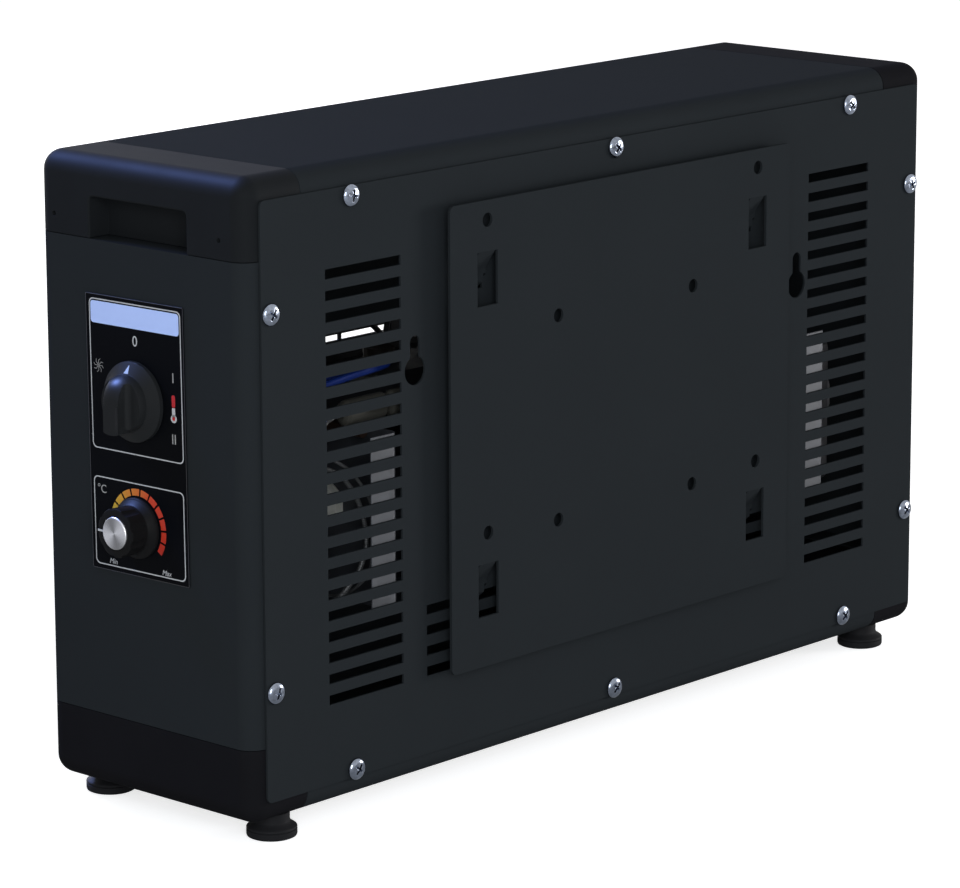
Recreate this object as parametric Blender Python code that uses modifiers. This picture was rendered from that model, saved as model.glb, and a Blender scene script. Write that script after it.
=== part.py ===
"""Fan heater: a steel casing with a blower, a heating element, two controls and a hook-on plate.

Blender 4.5, metres, +Z up. The outlet faces -Y, the mounting plate +Y, and the controls are on the +X end.
Sizes are worked out about the middle of the casing, and the root empty then centres the whole on the origin.
"""

import math

import bmesh
import bpy
from mathutils import Matrix, Vector

# Casing
BODY_LENGTH = 0.4987
BODY_DEPTH = 0.1364
BODY_HEIGHT = 0.2991
CORNER_RADIUS = 0.0096
SHEET = 0.001
SHEET_LEG = 0.0252
END_LEG = 0.0244
END_FLANGE = 0.018
GAP = 0.0003
OVERRUN = 0.002

# Corner caps and their handle recesses
CAP_LENGTH = 0.0353
TOP_CAP_HEIGHT = 0.0378
BOTTOM_CAP_HEIGHT = 0.036
CAP_WALL = 0.003
CAP_LIP = 0.006
HANDLE_WIDTH = 0.0636
HANDLE_SHIFT = -0.0007
HANDLE_HEIGHT = 0.0193
HANDLE_DEPTH = 0.012
HANDLE_RADIUS = 0.0025
HANDLE_WALL = 0.002

# Front and back panels
PANEL_SHEET = 0.0012
PANEL_SIDE_INSET = 0.00835
PANEL_TOP_INSET = 0.01045
PANEL_BOTTOM_INSET = 0.0106
PANEL_RADIUS = 0.0028

# Louvres in the back panel
SLOT_LENGTH = 0.04955
SLOT_HEIGHT = 0.0046
SLOT_PITCH = 0.009955
SLOT_INSET = 0.0491
SLOT_TOP_INSET = 0.0468
SLOT_BOTTOM_INSET = 0.048
CENTRE_ROWS = 4
CENTRE_END_INSET = 0.11475
CENTRE_GAP = 0.005

# Keyholes in the back panel
KEYHOLE_END_INSET = 0.10775
KEYHOLE_SLOT = 0.0065
KEYHOLE_BORE = 0.0138
KEYHOLE_RISE = 0.0165
KEYHOLE_TOP_INSET = 0.1024

# Screw holes of both panels and the flanges behind them
SCREW_HOLE = 0.0045
SCREW_TOP_INSET = 0.0151
SCREW_BOTTOM_INSET = 0.0145
SCREW_END_INSET = 0.01405
SCREW_ROW_END_INSET = 0.06595
SCREW_SIDE_TOP_INSET = 0.0623
SCREW_SIDE_BOTTOM_INSET = 0.062

# Outlet
OUTLET_SETBACK = 0.006
OUTLET_HEIGHT = 0.106
OUTLET_RADIUS = 0.004
GRILLE_BORDER = 0.0045
GRILLE_DEPTH = 0.006
GRILLE_BAR = 0.0028
GRILLE_PITCH = 0.0088
GRILLE_COLUMNS = 3

# Feet
FOOT_HEIGHT = 0.0121
FOOT_STEM = 0.0169
FOOT_RIM = 0.0237
FOOT_RIM_TOP = 0.0044
FOOT_FLARE_TOP = 0.0076
FOOT_CHAMFER = 0.001
FOOT_END_INSET = 0.0277
FOOT_REAR_INSET = 0.0159
FOOT_FRONT_INSET = 0.0122
FOOT_RECESS = 0.0096
FOOT_RECESS_DEPTH = 0.005
FOOT_BORE = 0.0046

# Mounting plate
PLATE_LENGTH = 0.2514
PLATE_TOP_INSET = 0.027
PLATE_BOTTOM_INSET = 0.0481
PLATE_SHEET = 0.0015
PLATE_RADIUS = 0.003
PLATE_STANDOFF = 0.0063
SQUARE_PATTERN = 0.1
OUTER_HOLE_END_INSET = 0.0257
OUTER_HOLE_RISE = 0.01485
PLATE_HOLE = 0.0067
WINDOW_WIDTH = 0.014
WINDOW_HEIGHT = 0.0257
WINDOW_TOP_INSET = 0.0242
WINDOW_BOTTOM_INSET = 0.0244
TONGUE_SIDE_GAP = 0.0003
TONGUE_FLAT = 0.0048
TONGUE_NECK = 0.0047
TONGUE_NECK_WIDTH = 0.0086
TONGUE_TIP = 0.0043
TONGUE_TIP_WIDTH = 0.0026
PLATE_LIFT = 0.006

# Controls on the end panel
CONTROL_Y = -0.0033
SWITCH_TOP_INSET = 0.1098
THERMOSTAT_TOP_INSET = 0.1692
LABEL_WIDTH = 0.0642
LABEL_HEIGHT = 0.1296
LABEL_TOP_INSET = 0.0631
LABEL_THICKNESS = 0.0005
LABEL_RADIUS = 0.0006
CONTROL_SHAFT = 0.006
CONTROL_BUSH = 0.0092
KNOB_FLANGE = 0.0376
KNOB_FLANGE_HEIGHT = 0.0022
KNOB_FLANGE_CHAMFER = 0.0004
KNOB_CONE_HEIGHT = 0.0031
KNOB_GRIP = 0.0268
KNOB_GRIP_HEIGHT = 0.0095
KNOB_SHOULDER_RADIUS = 0.0107
KNOB_CROWN = 0.0056
KNOB_BAR = 0.0098
KNOB_SCOOP_FLOOR = 0.009
KNOB_SCOOP_RADIUS = 0.0028
KNOB_BORE_DEPTH = 0.008
DIAL_SKIRT = 0.03
DIAL_SKIRT_HEIGHT = 0.0016
DIAL_THROAT = 0.0222
DIAL_THROAT_HEIGHT = 0.0036
DIAL_GRIP = 0.0232
DIAL_HEIGHT = 0.0139
DIAL_EDGE = 0.0006
DIAL_FLUTES = 9
DIAL_FLUTE_RADIUS = 0.0046
DIAL_FLUTE_DEPTH = 0.0008
DIAL_CAP = 0.0154
DIAL_CAP_THICKNESS = 0.0012
DIAL_CAP_SINK = 0.0004
SWITCH_WIDTH = 0.038
SWITCH_HEIGHT = 0.04
SWITCH_DEPTH = 0.026
SWITCH_RADIUS = 0.003
TERMINAL_WIDTH = 0.0048
TERMINAL_THICKNESS = 0.0008
TERMINAL_LENGTH = 0.008
TERMINAL_SPREAD = 0.012
THERMOSTAT_WIDTH = 0.034
THERMOSTAT_HEIGHT = 0.03
THERMOSTAT_DEPTH = 0.018
DIAPHRAGM = 0.022
DIAPHRAGM_HEIGHT = 0.004
CAPILLARY = 0.0016
BULB = 0.006
BULB_LENGTH = 0.055

# Blower: the axis stands at this height over the casing floor and this far in front of its back
BLOWER_Z = 0.1279
BLOWER_REAR_INSET = 0.0462
END_BAY = 0.09835
HOUSING_HEIGHT = 0.09
HOUSING_SHEET = 0.001
HOUSING_FLANGE = 0.015
WALL_SHEET = 0.0008
DUCT_HEIGHT = 0.086
DUCT_FRONT_INSET = 0.0115
SCROLL_START_GAP = 0.0035
TONGUE_SETBACK = 0.008
TONGUE_DROP = 0.017
TONGUE_RUN = 0.018
TONGUE_LIP = 0.005
IMPELLER_END_GAP = 0.011
IMPELLER_DIAMETER = 0.06
IMPELLER_BLADES = 18
IMPELLER_CHORD = 0.0068
IMPELLER_SAGITTA = 0.0016
IMPELLER_BLADE = 0.0009
IMPELLER_DISC = 0.0014
IMPELLER_RIM = 0.0008
IMPELLER_HUB = 0.016
IMPELLER_HUB_LENGTH = 0.004
SHAFT = 0.006
SHAFT_SEAT = 0.012
BEARING = 0.0154
BEARING_FLANGE = 0.022
BEARING_FLANGE_THICKNESS = 0.0015
BEARING_LENGTH = 0.008

# Motor
MOTOR_STANDOFF = 0.011
BRACKET = 0.004
BRACKET_WIDTH = 0.056
BRACKET_HEIGHT = 0.018
STACK = 0.024
STACK_WIDTH = 0.06
STACK_TOP = 0.03
STACK_FOOT = 0.044
STACK_RADIUS = 0.004
ROTOR = 0.0284
ROTOR_GAP = 0.0006
WINDOW_LENGTH = 0.042
WINDOW_GAP = 0.014
CORE = 0.008
COIL_LENGTH = 0.034
COIL_BUILD = 0.0068
COIL_RADIUS = 0.003
MOTOR_BOLT_HOLE = 0.0046
MOTOR_BOLT_SPACING = 0.044
SPACER = 0.008

# Heating element
ELEMENT_DEPTH_SHARE = 0.65
ELEMENT_INSET = 0.0038
ELEMENT_END = 0.0105
ELEMENT_RAIL = 0.003
ELEMENT_BAR = 0.008
ELEMENT_BAR_DEPTH_SHARE = 0.5833
ELEMENT_ROWS = 4
FIN_PITCH = 0.03
FIN_SHEET = 0.0006
CUTOUT = 0.016
CUTOUT_HEIGHT = 0.007
CUTOUT_FLANGE = 0.02
CUTOUT_X = 0.05

# Mains connection
BLOCK_LENGTH = 0.034
BLOCK_WIDTH = 0.02
BLOCK_HEIGHT = 0.015
BLOCK_STEP = 0.006
BLOCK_BAY_SHARE = 0.555
BLOCK_Y = 0.03
GLAND = 0.0125
GLAND_FLANGE = 0.02
GLAND_FLANGE_HEIGHT = 0.003
GLAND_BORE = 0.0076
GLAND_NUT_HEIGHT = 0.005
GLAND_END_INSET = 0.09935
GLAND_Y = 0.035
WIRE = 0.0024
SLEEVE = 0.0034

# Finish and thickness of each inner wire
WIRES = {
    "wire_live": ("wire_brown", WIRE),
    "wire_neutral": ("wire_blue", WIRE),
    "wire_element_low": ("wire_white", SLEEVE),
    "wire_element_high": ("wire_white", SLEEVE),
}

# Route of each inner wire, in shares of the way from the blower to the switch's tabs, from the middle to the
# back, and from the top of the terminal block to the switch's middle
WIRE_ROUTE_SHARES = {
    "wire_live": [
        (0.6503, 0.4399, 0.0104),
        (0.8406, 0.6598, 0.1820),
        (0.8247, 0.7918, 0.4700),
        (0.8882, 0.5865, 0.7580),
        (0.9596, 0.2639, 0.8963),
        (0.9738, 0.1276, 0.9309),
    ],
    "wire_neutral": [
        (0.4600, 0.4399, 0.0104),
        (0.5868, 0.6745, 0.1820),
        (0.6661, 0.8504, 0.5277),
        (0.4917, 0.8798, 0.9194),
        (0.6186, 0.7331, 1.0231),
        (0.9738, 0.1276, 1.0691),
    ],
    "wire_element_low": [
        (0.9643, -0.0484, 0.9309),
        (0.7137, 0.4399, 0.8272),
        (0.4282, 0.8211, 0.7120),
        (0.3807, 0.8798, 0.4816),
        (0.3965, 0.5865, 0.3318),
        (0.2379, -0.1466, 0.3203),
        (0.0555, -0.6158, 0.4354),
    ],
    "wire_element_high": [
        (0.9643, -0.2243, 0.9309),
        (0.7772, 0.2639, 0.7580),
        (0.5551, 0.7625, 0.6774),
        (0.5234, 0.8798, 0.4700),
        (0.4917, 0.4399, 0.4125),
        (0.2696, -0.2933, 0.4700),
        (0.0555, -0.6158, 0.5853),
    ],
}

# Facet counts
ARC_STEPS = 3
HOLE_STEPS = 8
TURN_STEPS = 14
KNOB_STEPS = 20

# Worked-out places
HALF_X = BODY_LENGTH / 2
HALF_Y = BODY_DEPTH / 2
BASE_Z = FOOT_HEIGHT
TOP_Z = BASE_Z + BODY_HEIGHT
PANEL_FACE = HALF_Y + GAP + PANEL_SHEET
PANEL_LOW = BASE_Z + PANEL_BOTTOM_INSET
PANEL_HIGH = TOP_Z - PANEL_TOP_INSET
SLOT_ROWS = math.ceil((BODY_HEIGHT - SLOT_TOP_INSET - SLOT_BOTTOM_INSET - SLOT_HEIGHT) / SLOT_PITCH)
CENTRE_HALF_SPAN = HALF_X - CENTRE_END_INSET
CENTRE_COLUMNS = int((2 * CENTRE_HALF_SPAN + CENTRE_GAP) / (SLOT_LENGTH + CENTRE_GAP))
PLATE_FACE = PANEL_FACE + PLATE_STANDOFF + PLATE_SHEET
PLATE_LOW = BASE_Z + PLATE_BOTTOM_INSET
PLATE_HIGH = TOP_Z - PLATE_TOP_INSET
PLATE_MID = (PLATE_LOW + PLATE_HIGH) / 2
WINDOW_X = PLATE_LENGTH / 2 - OUTER_HOLE_END_INSET
WINDOW_TOPS = (PLATE_HIGH - WINDOW_TOP_INSET, PLATE_LOW + WINDOW_BOTTOM_INSET + WINDOW_HEIGHT)
SWITCH_Z = BODY_HEIGHT - SWITCH_TOP_INSET
THERMOSTAT_Z = BODY_HEIGHT - THERMOSTAT_TOP_INSET
KNOB_BASE = HALF_X + GAP + LABEL_THICKNESS + GAP
DIAL_TOP = KNOB_BASE + DIAL_HEIGHT
AXIS_Z = BASE_Z + BLOWER_Z
END_PLATE = HALF_X - END_BAY
TABS_X = HALF_X - SHEET - GAP - SWITCH_DEPTH - TERMINAL_LENGTH
OUTLET_LENGTH = 2 * (END_PLATE - OUTLET_SETBACK)
IMPELLER_LENGTH = 2 * (END_PLATE - IMPELLER_END_GAP)
GLAND_X = HALF_X - GLAND_END_INSET
BLOCK_X = END_PLATE + (TABS_X - END_PLATE) * BLOCK_BAY_SHARE
BLOCK_TOP = BASE_Z + SHEET + GAP + BLOCK_HEIGHT
BLOWER_Y = HALF_Y - BLOWER_REAR_INSET
DUCT_LOW = AXIS_Z - DUCT_HEIGHT / 2
DUCT_HIGH = AXIS_Z + DUCT_HEIGHT / 2
DUCT_FRONT = -HALF_Y + DUCT_FRONT_INSET
KNEE_Y = BLOWER_Y - IMPELLER_DIAMETER / 2 - TONGUE_SETBACK
KNOB_CREST = KNOB_FLANGE_HEIGHT + KNOB_CONE_HEIGHT + KNOB_GRIP_HEIGHT
REACH_END = max(KNOB_BASE + KNOB_CREST, DIAL_TOP + DIAL_CAP_THICKNESS - DIAL_CAP_SINK)
ROOT_SHIFT = Vector(((HALF_X - REACH_END) / 2, (PANEL_FACE - PLATE_FACE) / 2, 0))

# Direction along which each plane is extruded, with the plane's own two directions as the first two columns
PLANES = {
    "X": Matrix(((0, 0, 1), (1, 0, 0), (0, 1, 0))),
    "Y": Matrix(((1, 0, 0), (0, 0, -1), (0, 1, 0))),
    "Z": Matrix.Identity(3),
}

# Colour, roughness and metallic value of each finish
FINISHES = {
    "powder_coat": ((0.020, 0.023, 0.025), 0.55, 0.0),
    "moulded_black": ((0.011, 0.011, 0.012), 0.42, 0.0),
    "rubber_black": ((0.014, 0.014, 0.015), 0.75, 0.0),
    "zinc": ((0.72, 0.72, 0.70), 0.28, 1.0),
    "label_black": ((0.008, 0.008, 0.009), 0.45, 0.0),
    "knob_black": ((0.012, 0.012, 0.013), 0.30, 0.0),
    "aluminium": ((0.78, 0.78, 0.78), 0.25, 1.0),
    "galvanised": ((0.46, 0.48, 0.49), 0.40, 1.0),
    "laminations": ((0.18, 0.18, 0.19), 0.45, 1.0),
    "varnished_copper": ((0.36, 0.10, 0.05), 0.40, 0.0),
    "copper": ((0.72, 0.36, 0.22), 0.30, 1.0),
    "phenolic": ((0.05, 0.028, 0.018), 0.55, 0.0),
    "white_nylon": ((0.62, 0.62, 0.58), 0.50, 0.0),
    "wire_brown": ((0.12, 0.045, 0.02), 0.45, 0.0),
    "wire_blue": ((0.02, 0.10, 0.42), 0.45, 0.0),
    "wire_white": ((0.60, 0.60, 0.56), 0.60, 0.0),
}


def clear_scene():
    """Removes whatever the file holds and makes the two collections and the root."""
    for item in list(bpy.data.objects):
        bpy.data.objects.remove(item, do_unlink=True)
    parts = bpy.data.collections.new("fan_heater")
    cutters = bpy.data.collections.new("cutters")
    cutters.hide_render = True
    for collection in (parts, cutters):
        bpy.context.scene.collection.children.link(collection)
    root = bpy.data.objects.new("fan_heater_root", None)
    root.location = ROOT_SHIFT
    parts.objects.link(root)
    return parts, cutters, root


PARTS, CUTTERS, ROOT = clear_scene()


def material(finish):
    """The shared Principled material of one finish."""
    found = bpy.data.materials.get(finish)
    if found:
        return found
    colour, roughness, metallic = FINISHES[finish]
    made = bpy.data.materials.new(finish)
    made.use_nodes = True
    shader = made.node_tree.nodes["Principled BSDF"]
    shader.inputs["Base Color"].default_value = (*colour, 1)
    shader.inputs["Roughness"].default_value = roughness
    shader.inputs["Metallic"].default_value = metallic
    made.diffuse_color = (*colour, 1)
    return made


def put(name, mesh, finish):
    """Places a mesh as a named part under the root, or as a cutter where no finish is given."""
    obj = bpy.data.objects.new(name, mesh)
    obj.parent = ROOT
    if finish:
        mesh.materials.append(material(finish))
        PARTS.objects.link(obj)
    else:
        obj.hide_render = True
        obj.display_type = "WIRE"
        CUTTERS.objects.link(obj)
    return obj


def close_mesh(name, shape):
    """Welds a bmesh, turns its faces outward and gives it as a mesh."""
    bmesh.ops.remove_doubles(shape, verts=shape.verts, dist=GAP / 100)
    bmesh.ops.recalc_face_normals(shape, faces=shape.faces)
    mesh = bpy.data.meshes.new(name)
    shape.to_mesh(mesh)
    shape.free()
    return mesh


def smooth(obj, angle=35):
    """Shades a part smooth, with its sharper edges kept."""
    obj.data.shade_smooth()
    obj.data.set_sharp_from_angle(angle=math.radians(angle))
    return obj


def sheet(name, loops, axis, low, high, finish=None):
    """Fills outlines (holes are loops inside them) and extrudes them along an axis between two places."""
    curve = bpy.data.curves.new(name, "CURVE")
    curve.dimensions = "2D"
    curve.fill_mode = "BOTH"
    curve.extrude = (high - low) / 2
    for loop in loops:
        spline = curve.splines.new("POLY")
        spline.points.add(len(loop) - 1)
        spline.use_cyclic_u = True
        for point, (u, v) in zip(spline.points, loop):
            point.co = (u, v, 0, 1)
    flat = bpy.data.objects.new(name, curve)
    CUTTERS.objects.link(flat)
    bpy.context.view_layer.update()
    filled = bpy.data.meshes.new_from_object(flat.evaluated_get(bpy.context.evaluated_depsgraph_get()))
    bpy.data.objects.remove(flat, do_unlink=True)
    bpy.data.curves.remove(curve)
    shape = bmesh.new()
    shape.from_mesh(filled)
    bpy.data.meshes.remove(filled)
    bmesh.ops.remove_doubles(shape, verts=shape.verts, dist=GAP / 100)
    caps = [face for face in shape.faces if len(face.verts) == 3]
    inside = [edge for edge in shape.edges if all(len(face.verts) == 3 for face in edge.link_faces)]
    bmesh.ops.beautify_fill(shape, faces=caps, edges=inside)
    turn = PLANES[axis].to_4x4()
    middle = PLANES[axis].col[2] * ((low + high) / 2) * (-1 if axis == "Y" else 1)
    bmesh.ops.transform(shape, matrix=Matrix.Translation(middle) @ turn, verts=shape.verts)
    return put(name, close_mesh(name, shape), finish)


def turned(name, profile, centre, toward, steps=TURN_STEPS, finish=None):
    """Spins a profile of (radius, height) points about an axis, with heights counted toward it."""
    turn = Vector((0, 0, 1)).rotation_difference(Vector(toward)).to_matrix().to_4x4()
    shape = bmesh.new()
    verts = [shape.verts.new((radius, 0, height)) for radius, height in profile]
    pairs = list(zip(verts, verts[1:]))
    if profile[0][0] > 0:
        pairs.append((verts[-1], verts[0]))
    edges = [shape.edges.new(pair) for pair in pairs]
    bmesh.ops.spin(
        shape,
        geom=verts + edges,
        cent=(0, 0, 0),
        axis=(0, 0, 1),
        angle=math.tau,
        steps=steps,
        use_merge=True,
    )
    bmesh.ops.transform(shape, matrix=Matrix.Translation(centre) @ turn, verts=shape.verts)
    return put(name, close_mesh(name, shape), finish)


def box(name, low, high, finish=None):
    """A plain block between two corners."""
    low, high = Vector(low), Vector(high)
    shape = bmesh.new()
    size = Matrix.Diagonal((high - low).to_4d())
    size[3][3] = 1
    bmesh.ops.create_cube(shape, size=1, matrix=Matrix.Translation((low + high) / 2) @ size)
    return put(name, close_mesh(name, shape), finish)


def rounded_box(name, low, high, radius, finish=None):
    """A block with every edge rounded by a Bevel modifier."""
    obj = box(name, low, high, finish)
    bevel = obj.modifiers.new("round_edges", "BEVEL")
    bevel.width = radius
    bevel.segments = ARC_STEPS
    bevel.limit_method = "NONE"
    return obj


def combine(obj, operation, *others):
    """Joins, cuts or intersects a part with other solids by exact Booleans."""
    for other in others:
        modifier = obj.modifiers.new(other.name, "BOOLEAN")
        modifier.operation = operation
        modifier.solver = "EXACT"
        modifier.object = other
    return obj


def tube(name, points, radius, finish=None, sides=3):
    """A round tube through points, with its ends filled."""
    curve = bpy.data.curves.new(name, "CURVE")
    curve.dimensions = "3D"
    curve.bevel_depth = radius
    curve.bevel_resolution = sides - 2
    curve.use_fill_caps = True
    curve.resolution_u = sides
    curve.render_resolution_u = sides
    spline = curve.splines.new("BEZIER")
    spline.bezier_points.add(len(points) - 1)
    for point, place in zip(spline.bezier_points, points):
        point.co = place
        point.handle_left_type = "AUTO"
        point.handle_right_type = "AUTO"
    path = bpy.data.objects.new(name, curve)
    CUTTERS.objects.link(path)
    bpy.context.view_layer.update()
    swept = bpy.data.meshes.new_from_object(path.evaluated_get(bpy.context.evaluated_depsgraph_get()))
    bpy.data.objects.remove(path, do_unlink=True)
    bpy.data.curves.remove(curve)
    shape = bmesh.new()
    shape.from_mesh(swept)
    bpy.data.meshes.remove(swept)
    return put(name, close_mesh(name, shape), finish)


def set_axis(obj, place):
    """Moves a part's origin onto its joint axis and leaves its shape where it was."""
    obj.data.transform(Matrix.Translation(-Vector(place)))
    obj.location = place
    return obj


def circle(u, v, radius, steps=HOLE_STEPS):
    """A round outline, with a flat at its top and bottom."""
    turns = [math.tau * (i + 1 / 2) / steps for i in range(steps)]
    return [(u + radius * math.cos(turn), v + radius * math.sin(turn)) for turn in turns]


def rectangle(low_u, low_v, high_u, high_v):
    """A square-cornered outline."""
    return [(low_u, low_v), (high_u, low_v), (high_u, high_v), (low_u, high_v)]


def rounded(corners, radius, steps=ARC_STEPS):
    """An outline with each corner replaced by an arc of one radius."""
    outline = []
    for i, corner in enumerate(corners):
        here = Vector(corner)
        back = (Vector(corners[i - 1]) - here).normalized()
        ahead = (Vector(corners[(i + 1) % len(corners)]) - here).normalized()
        half = back.angle(ahead) / 2
        centre = here + (back + ahead).normalized() * (radius / math.sin(half))
        start = here + back * (radius / math.tan(half)) - centre
        sweep = start.angle_signed(here + ahead * (radius / math.tan(half)) - centre)
        for j in range(steps + 1):
            turn = -sweep * j / steps
            outline.append(
                (
                    centre.x + start.x * math.cos(turn) - start.y * math.sin(turn),
                    centre.y + start.x * math.sin(turn) + start.y * math.cos(turn),
                )
            )
    return outline


def channel(width, leg, radius, thickness):
    """The section of a sheet bent twice: u runs across its face, and v falls from 0 along the legs."""
    outer, inner = [], []
    for side in (-1, 1):
        for reach, edge in ((radius, outer), (radius - thickness, inner)):
            arc = []
            for j in range(ARC_STEPS + 1):
                turn = math.pi / 2 * j / ARC_STEPS
                across = width / 2 - radius + reach * math.cos(turn)
                arc.append((side * across, -radius + reach * math.sin(turn)))
            edge.extend(arc if side < 0 else arc[::-1])
    edge_out = [(-width / 2, -leg), *outer, (width / 2, -leg)]
    edge_in = [(-width / 2 + thickness, -leg), *inner, (width / 2 - thickness, -leg)]
    return edge_out + edge_in[::-1]


def ribbon(points, thickness):
    """The outline of a strip along a path of (u, v) points, with its thickness to the path's left."""
    path = [Vector(point) for point in points]
    offset = []
    for i, here in enumerate(path):
        before = (here - path[i - 1]).normalized() if i else (path[1] - here).normalized()
        after = (path[i + 1] - here).normalized() if i + 1 < len(path) else before
        left_before = Vector((-before.y, before.x))
        left_after = Vector((-after.y, after.x))
        mitre = (left_before + left_after).normalized()
        offset.append(here + mitre * (thickness / mitre.dot(left_after)))
    return [tuple(point) for point in path] + [tuple(point) for point in reversed(offset)]


def screw_places():
    """The ten places (x, z) of the screws round each panel."""
    high = TOP_Z - SCREW_TOP_INSET
    low = BASE_Z + SCREW_BOTTOM_INSET
    row = HALF_X - SCREW_ROW_END_INSET
    side = HALF_X - SCREW_END_INSET
    rows = [(x, z) for z in (high, low) for x in (-row, 0, row)]
    levels = (TOP_Z - SCREW_SIDE_TOP_INSET, BASE_Z + SCREW_SIDE_BOTTOM_INSET)
    return rows + [(x, z) for x in (-side, side) for z in levels]


def screw_holes(name, places):
    """Cutters along Y, from front to back, for screw holes at (x, z) places."""
    reach = PANEL_FACE + OVERRUN
    loops = [circle(x, z, SCREW_HOLE / 2) for x, z in places]
    return sheet(name, loops, "Y", -reach, reach)


def long_sheets():
    """The top and bottom sheets, each bent down over the long edges."""
    section = channel(BODY_DEPTH, SHEET_LEG, CORNER_RADIUS, SHEET)
    end = HALF_X - CAP_LENGTH - GAP
    top = sheet("top_sheet", [[(y, TOP_Z + v) for y, v in section]], "X", -end, end, "powder_coat")
    bottom = sheet("bottom_sheet", [[(y, BASE_Z - v) for y, v in section]], "X", -end, end, "powder_coat")
    rows = [place for place in screw_places() if abs(place[0]) < end]
    middle = BASE_Z + BODY_HEIGHT / 2
    combine(top, "DIFFERENCE", screw_holes("top_holes", [p for p in rows if p[1] > middle]))
    combine(bottom, "DIFFERENCE", screw_holes("bottom_holes", [p for p in rows if p[1] < middle]))
    radius = GLAND / 2 + GAP
    gland_hole = turned(
        "gland_hole",
        [(0, SHEET + OVERRUN), (radius, SHEET + OVERRUN), (radius, -OVERRUN), (0, -OVERRUN)],
        (GLAND_X, GLAND_Y, BASE_Z),
        (0, 0, 1),
    )
    combine(bottom, "DIFFERENCE", gland_hole)
    smooth(top)
    smooth(bottom)


def bush_hole(z):
    """The hole that a control's bush passes through, at a height over the casing's bottom."""
    return circle(CONTROL_Y, BASE_Z + z, CONTROL_BUSH / 2 + GAP, TURN_STEPS)


def end_panel(name, side):
    """One end panel: bent round both upright corners, with a flange turned in at its top and bottom."""
    section = channel(BODY_DEPTH, END_LEG, CORNER_RADIUS, SHEET)
    low = BASE_Z + BOTTOM_CAP_HEIGHT + GAP
    high = TOP_Z - TOP_CAP_HEIGHT - GAP
    loop = [(side * (HALF_X + v), y) for y, v in section]
    panel = sheet(name, [loop], "Z", low, high, "powder_coat")
    inner, outer = sorted((side * (HALF_X - END_FLANGE), side * (HALF_X - SHEET / 2)))
    reach = HALF_Y - CORNER_RADIUS
    for place, level in (("top", high - SHEET), ("bottom", low)):
        flange = box(f"{name}_{place}_flange", (inner, -reach, level), (outer, reach, level + SHEET))
        combine(panel, "UNION", flange)
    places = [place for place in screw_places() if place[0] * side > HALF_X - END_LEG]
    combine(panel, "DIFFERENCE", screw_holes(f"{name}_holes", places))
    if side > 0:
        bushes = [bush_hole(z) for z in (SWITCH_Z, THERMOSTAT_Z)]
        cutter = sheet("bush_holes", bushes, "X", HALF_X - SHEET - OVERRUN, HALF_X + OVERRUN)
        combine(panel, "DIFFERENCE", cutter)
    smooth(panel)


def cap_shell(name, side, level, inset, start, finish=None):
    """The rounded end of the casing, inset from its faces, outward from a place, one cap's height deep."""
    height = TOP_CAP_HEIGHT if level > 0 else BOTTOM_CAP_HEIGHT
    edge = TOP_Z if level > 0 else BASE_Z
    near = (side * (HALF_X - inset), HALF_Y - inset, edge - level * inset)
    far = (side * (HALF_X - 2 * CAP_LENGTH), inset - HALF_Y, edge - level * 2 * height)
    low = [min(pair) for pair in zip(near, far)]
    high = [max(pair) for pair in zip(near, far)]
    shell = rounded_box(name, low, high, CORNER_RADIUS - inset, finish)
    reach = HALF_X + OVERRUN
    seam = edge - level * height
    limit = edge + level * OVERRUN
    x_low, x_high = sorted((side * start, side * reach))
    z_low, z_high = sorted((seam, limit))
    region = box(f"{name}_region", (x_low, -reach, z_low), (x_high, reach, z_high))
    return combine(shell, "INTERSECT", region)


def corner_cap(name, side, level):
    """One moulded corner: a hollow shell with a lip under the long sheet, and its recess or foot holes."""
    seam_x = HALF_X - CAP_LENGTH
    cap = cap_shell(name, side, level, 0, seam_x, "moulded_black")
    lip = cap_shell(f"{name}_lip", side, level, SHEET + GAP, seam_x - CAP_LIP)
    combine(cap, "UNION", lip)
    height = TOP_CAP_HEIGHT if level > 0 else BOTTOM_CAP_HEIGHT
    edge = TOP_Z if level > 0 else BASE_Z
    near = (side * (HALF_X - CAP_WALL), HALF_Y - CAP_WALL, edge - level * CAP_WALL)
    far = (side * (seam_x - 2 * CAP_LIP), CAP_WALL - HALF_Y, edge - level * 2 * height)
    low = [min(pair) for pair in zip(near, far)]
    high = [max(pair) for pair in zip(near, far)]
    combine(cap, "DIFFERENCE", rounded_box(f"{name}_hollow", low, high, CORNER_RADIUS - CAP_WALL))
    if level > 0:
        add_handle(cap, side)
    else:
        add_foot_holes(cap, side)
    return smooth(cap)


def add_handle(cap, side):
    """The handle recess in the end of a top cap: a moulded pocket, open below onto the end panel's flange."""
    floor = TOP_Z - TOP_CAP_HEIGHT
    left = HANDLE_SHIFT - HANDLE_WIDTH / 2
    right = HANDLE_SHIFT + HANDLE_WIDTH / 2
    back = HALF_X - HANDLE_DEPTH
    outside = rectangle(left - HANDLE_WALL, floor, right + HANDLE_WALL, floor + HANDLE_HEIGHT + HANDLE_WALL)
    x_low, x_high = sorted((side * (back - HANDLE_WALL), side * (HALF_X - CAP_WALL / 2)))
    combine(cap, "UNION", sheet(f"{cap.name}_pocket_wall", [outside], "X", x_low, x_high))
    arch = rounded(
        rectangle(left, floor - HANDLE_HEIGHT, right, floor + HANDLE_HEIGHT),
        HANDLE_RADIUS,
    )
    x_low, x_high = sorted((side * back, side * (HALF_X + OVERRUN)))
    combine(cap, "DIFFERENCE", sheet(f"{cap.name}_pocket", [arch], "X", x_low, x_high))


def foot_places(side):
    """The two places (x, y) of the feet at one end."""
    x = side * (HALF_X - FOOT_END_INSET)
    return [(x, HALF_Y - FOOT_REAR_INSET), (x, FOOT_FRONT_INSET - HALF_Y)]


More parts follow.
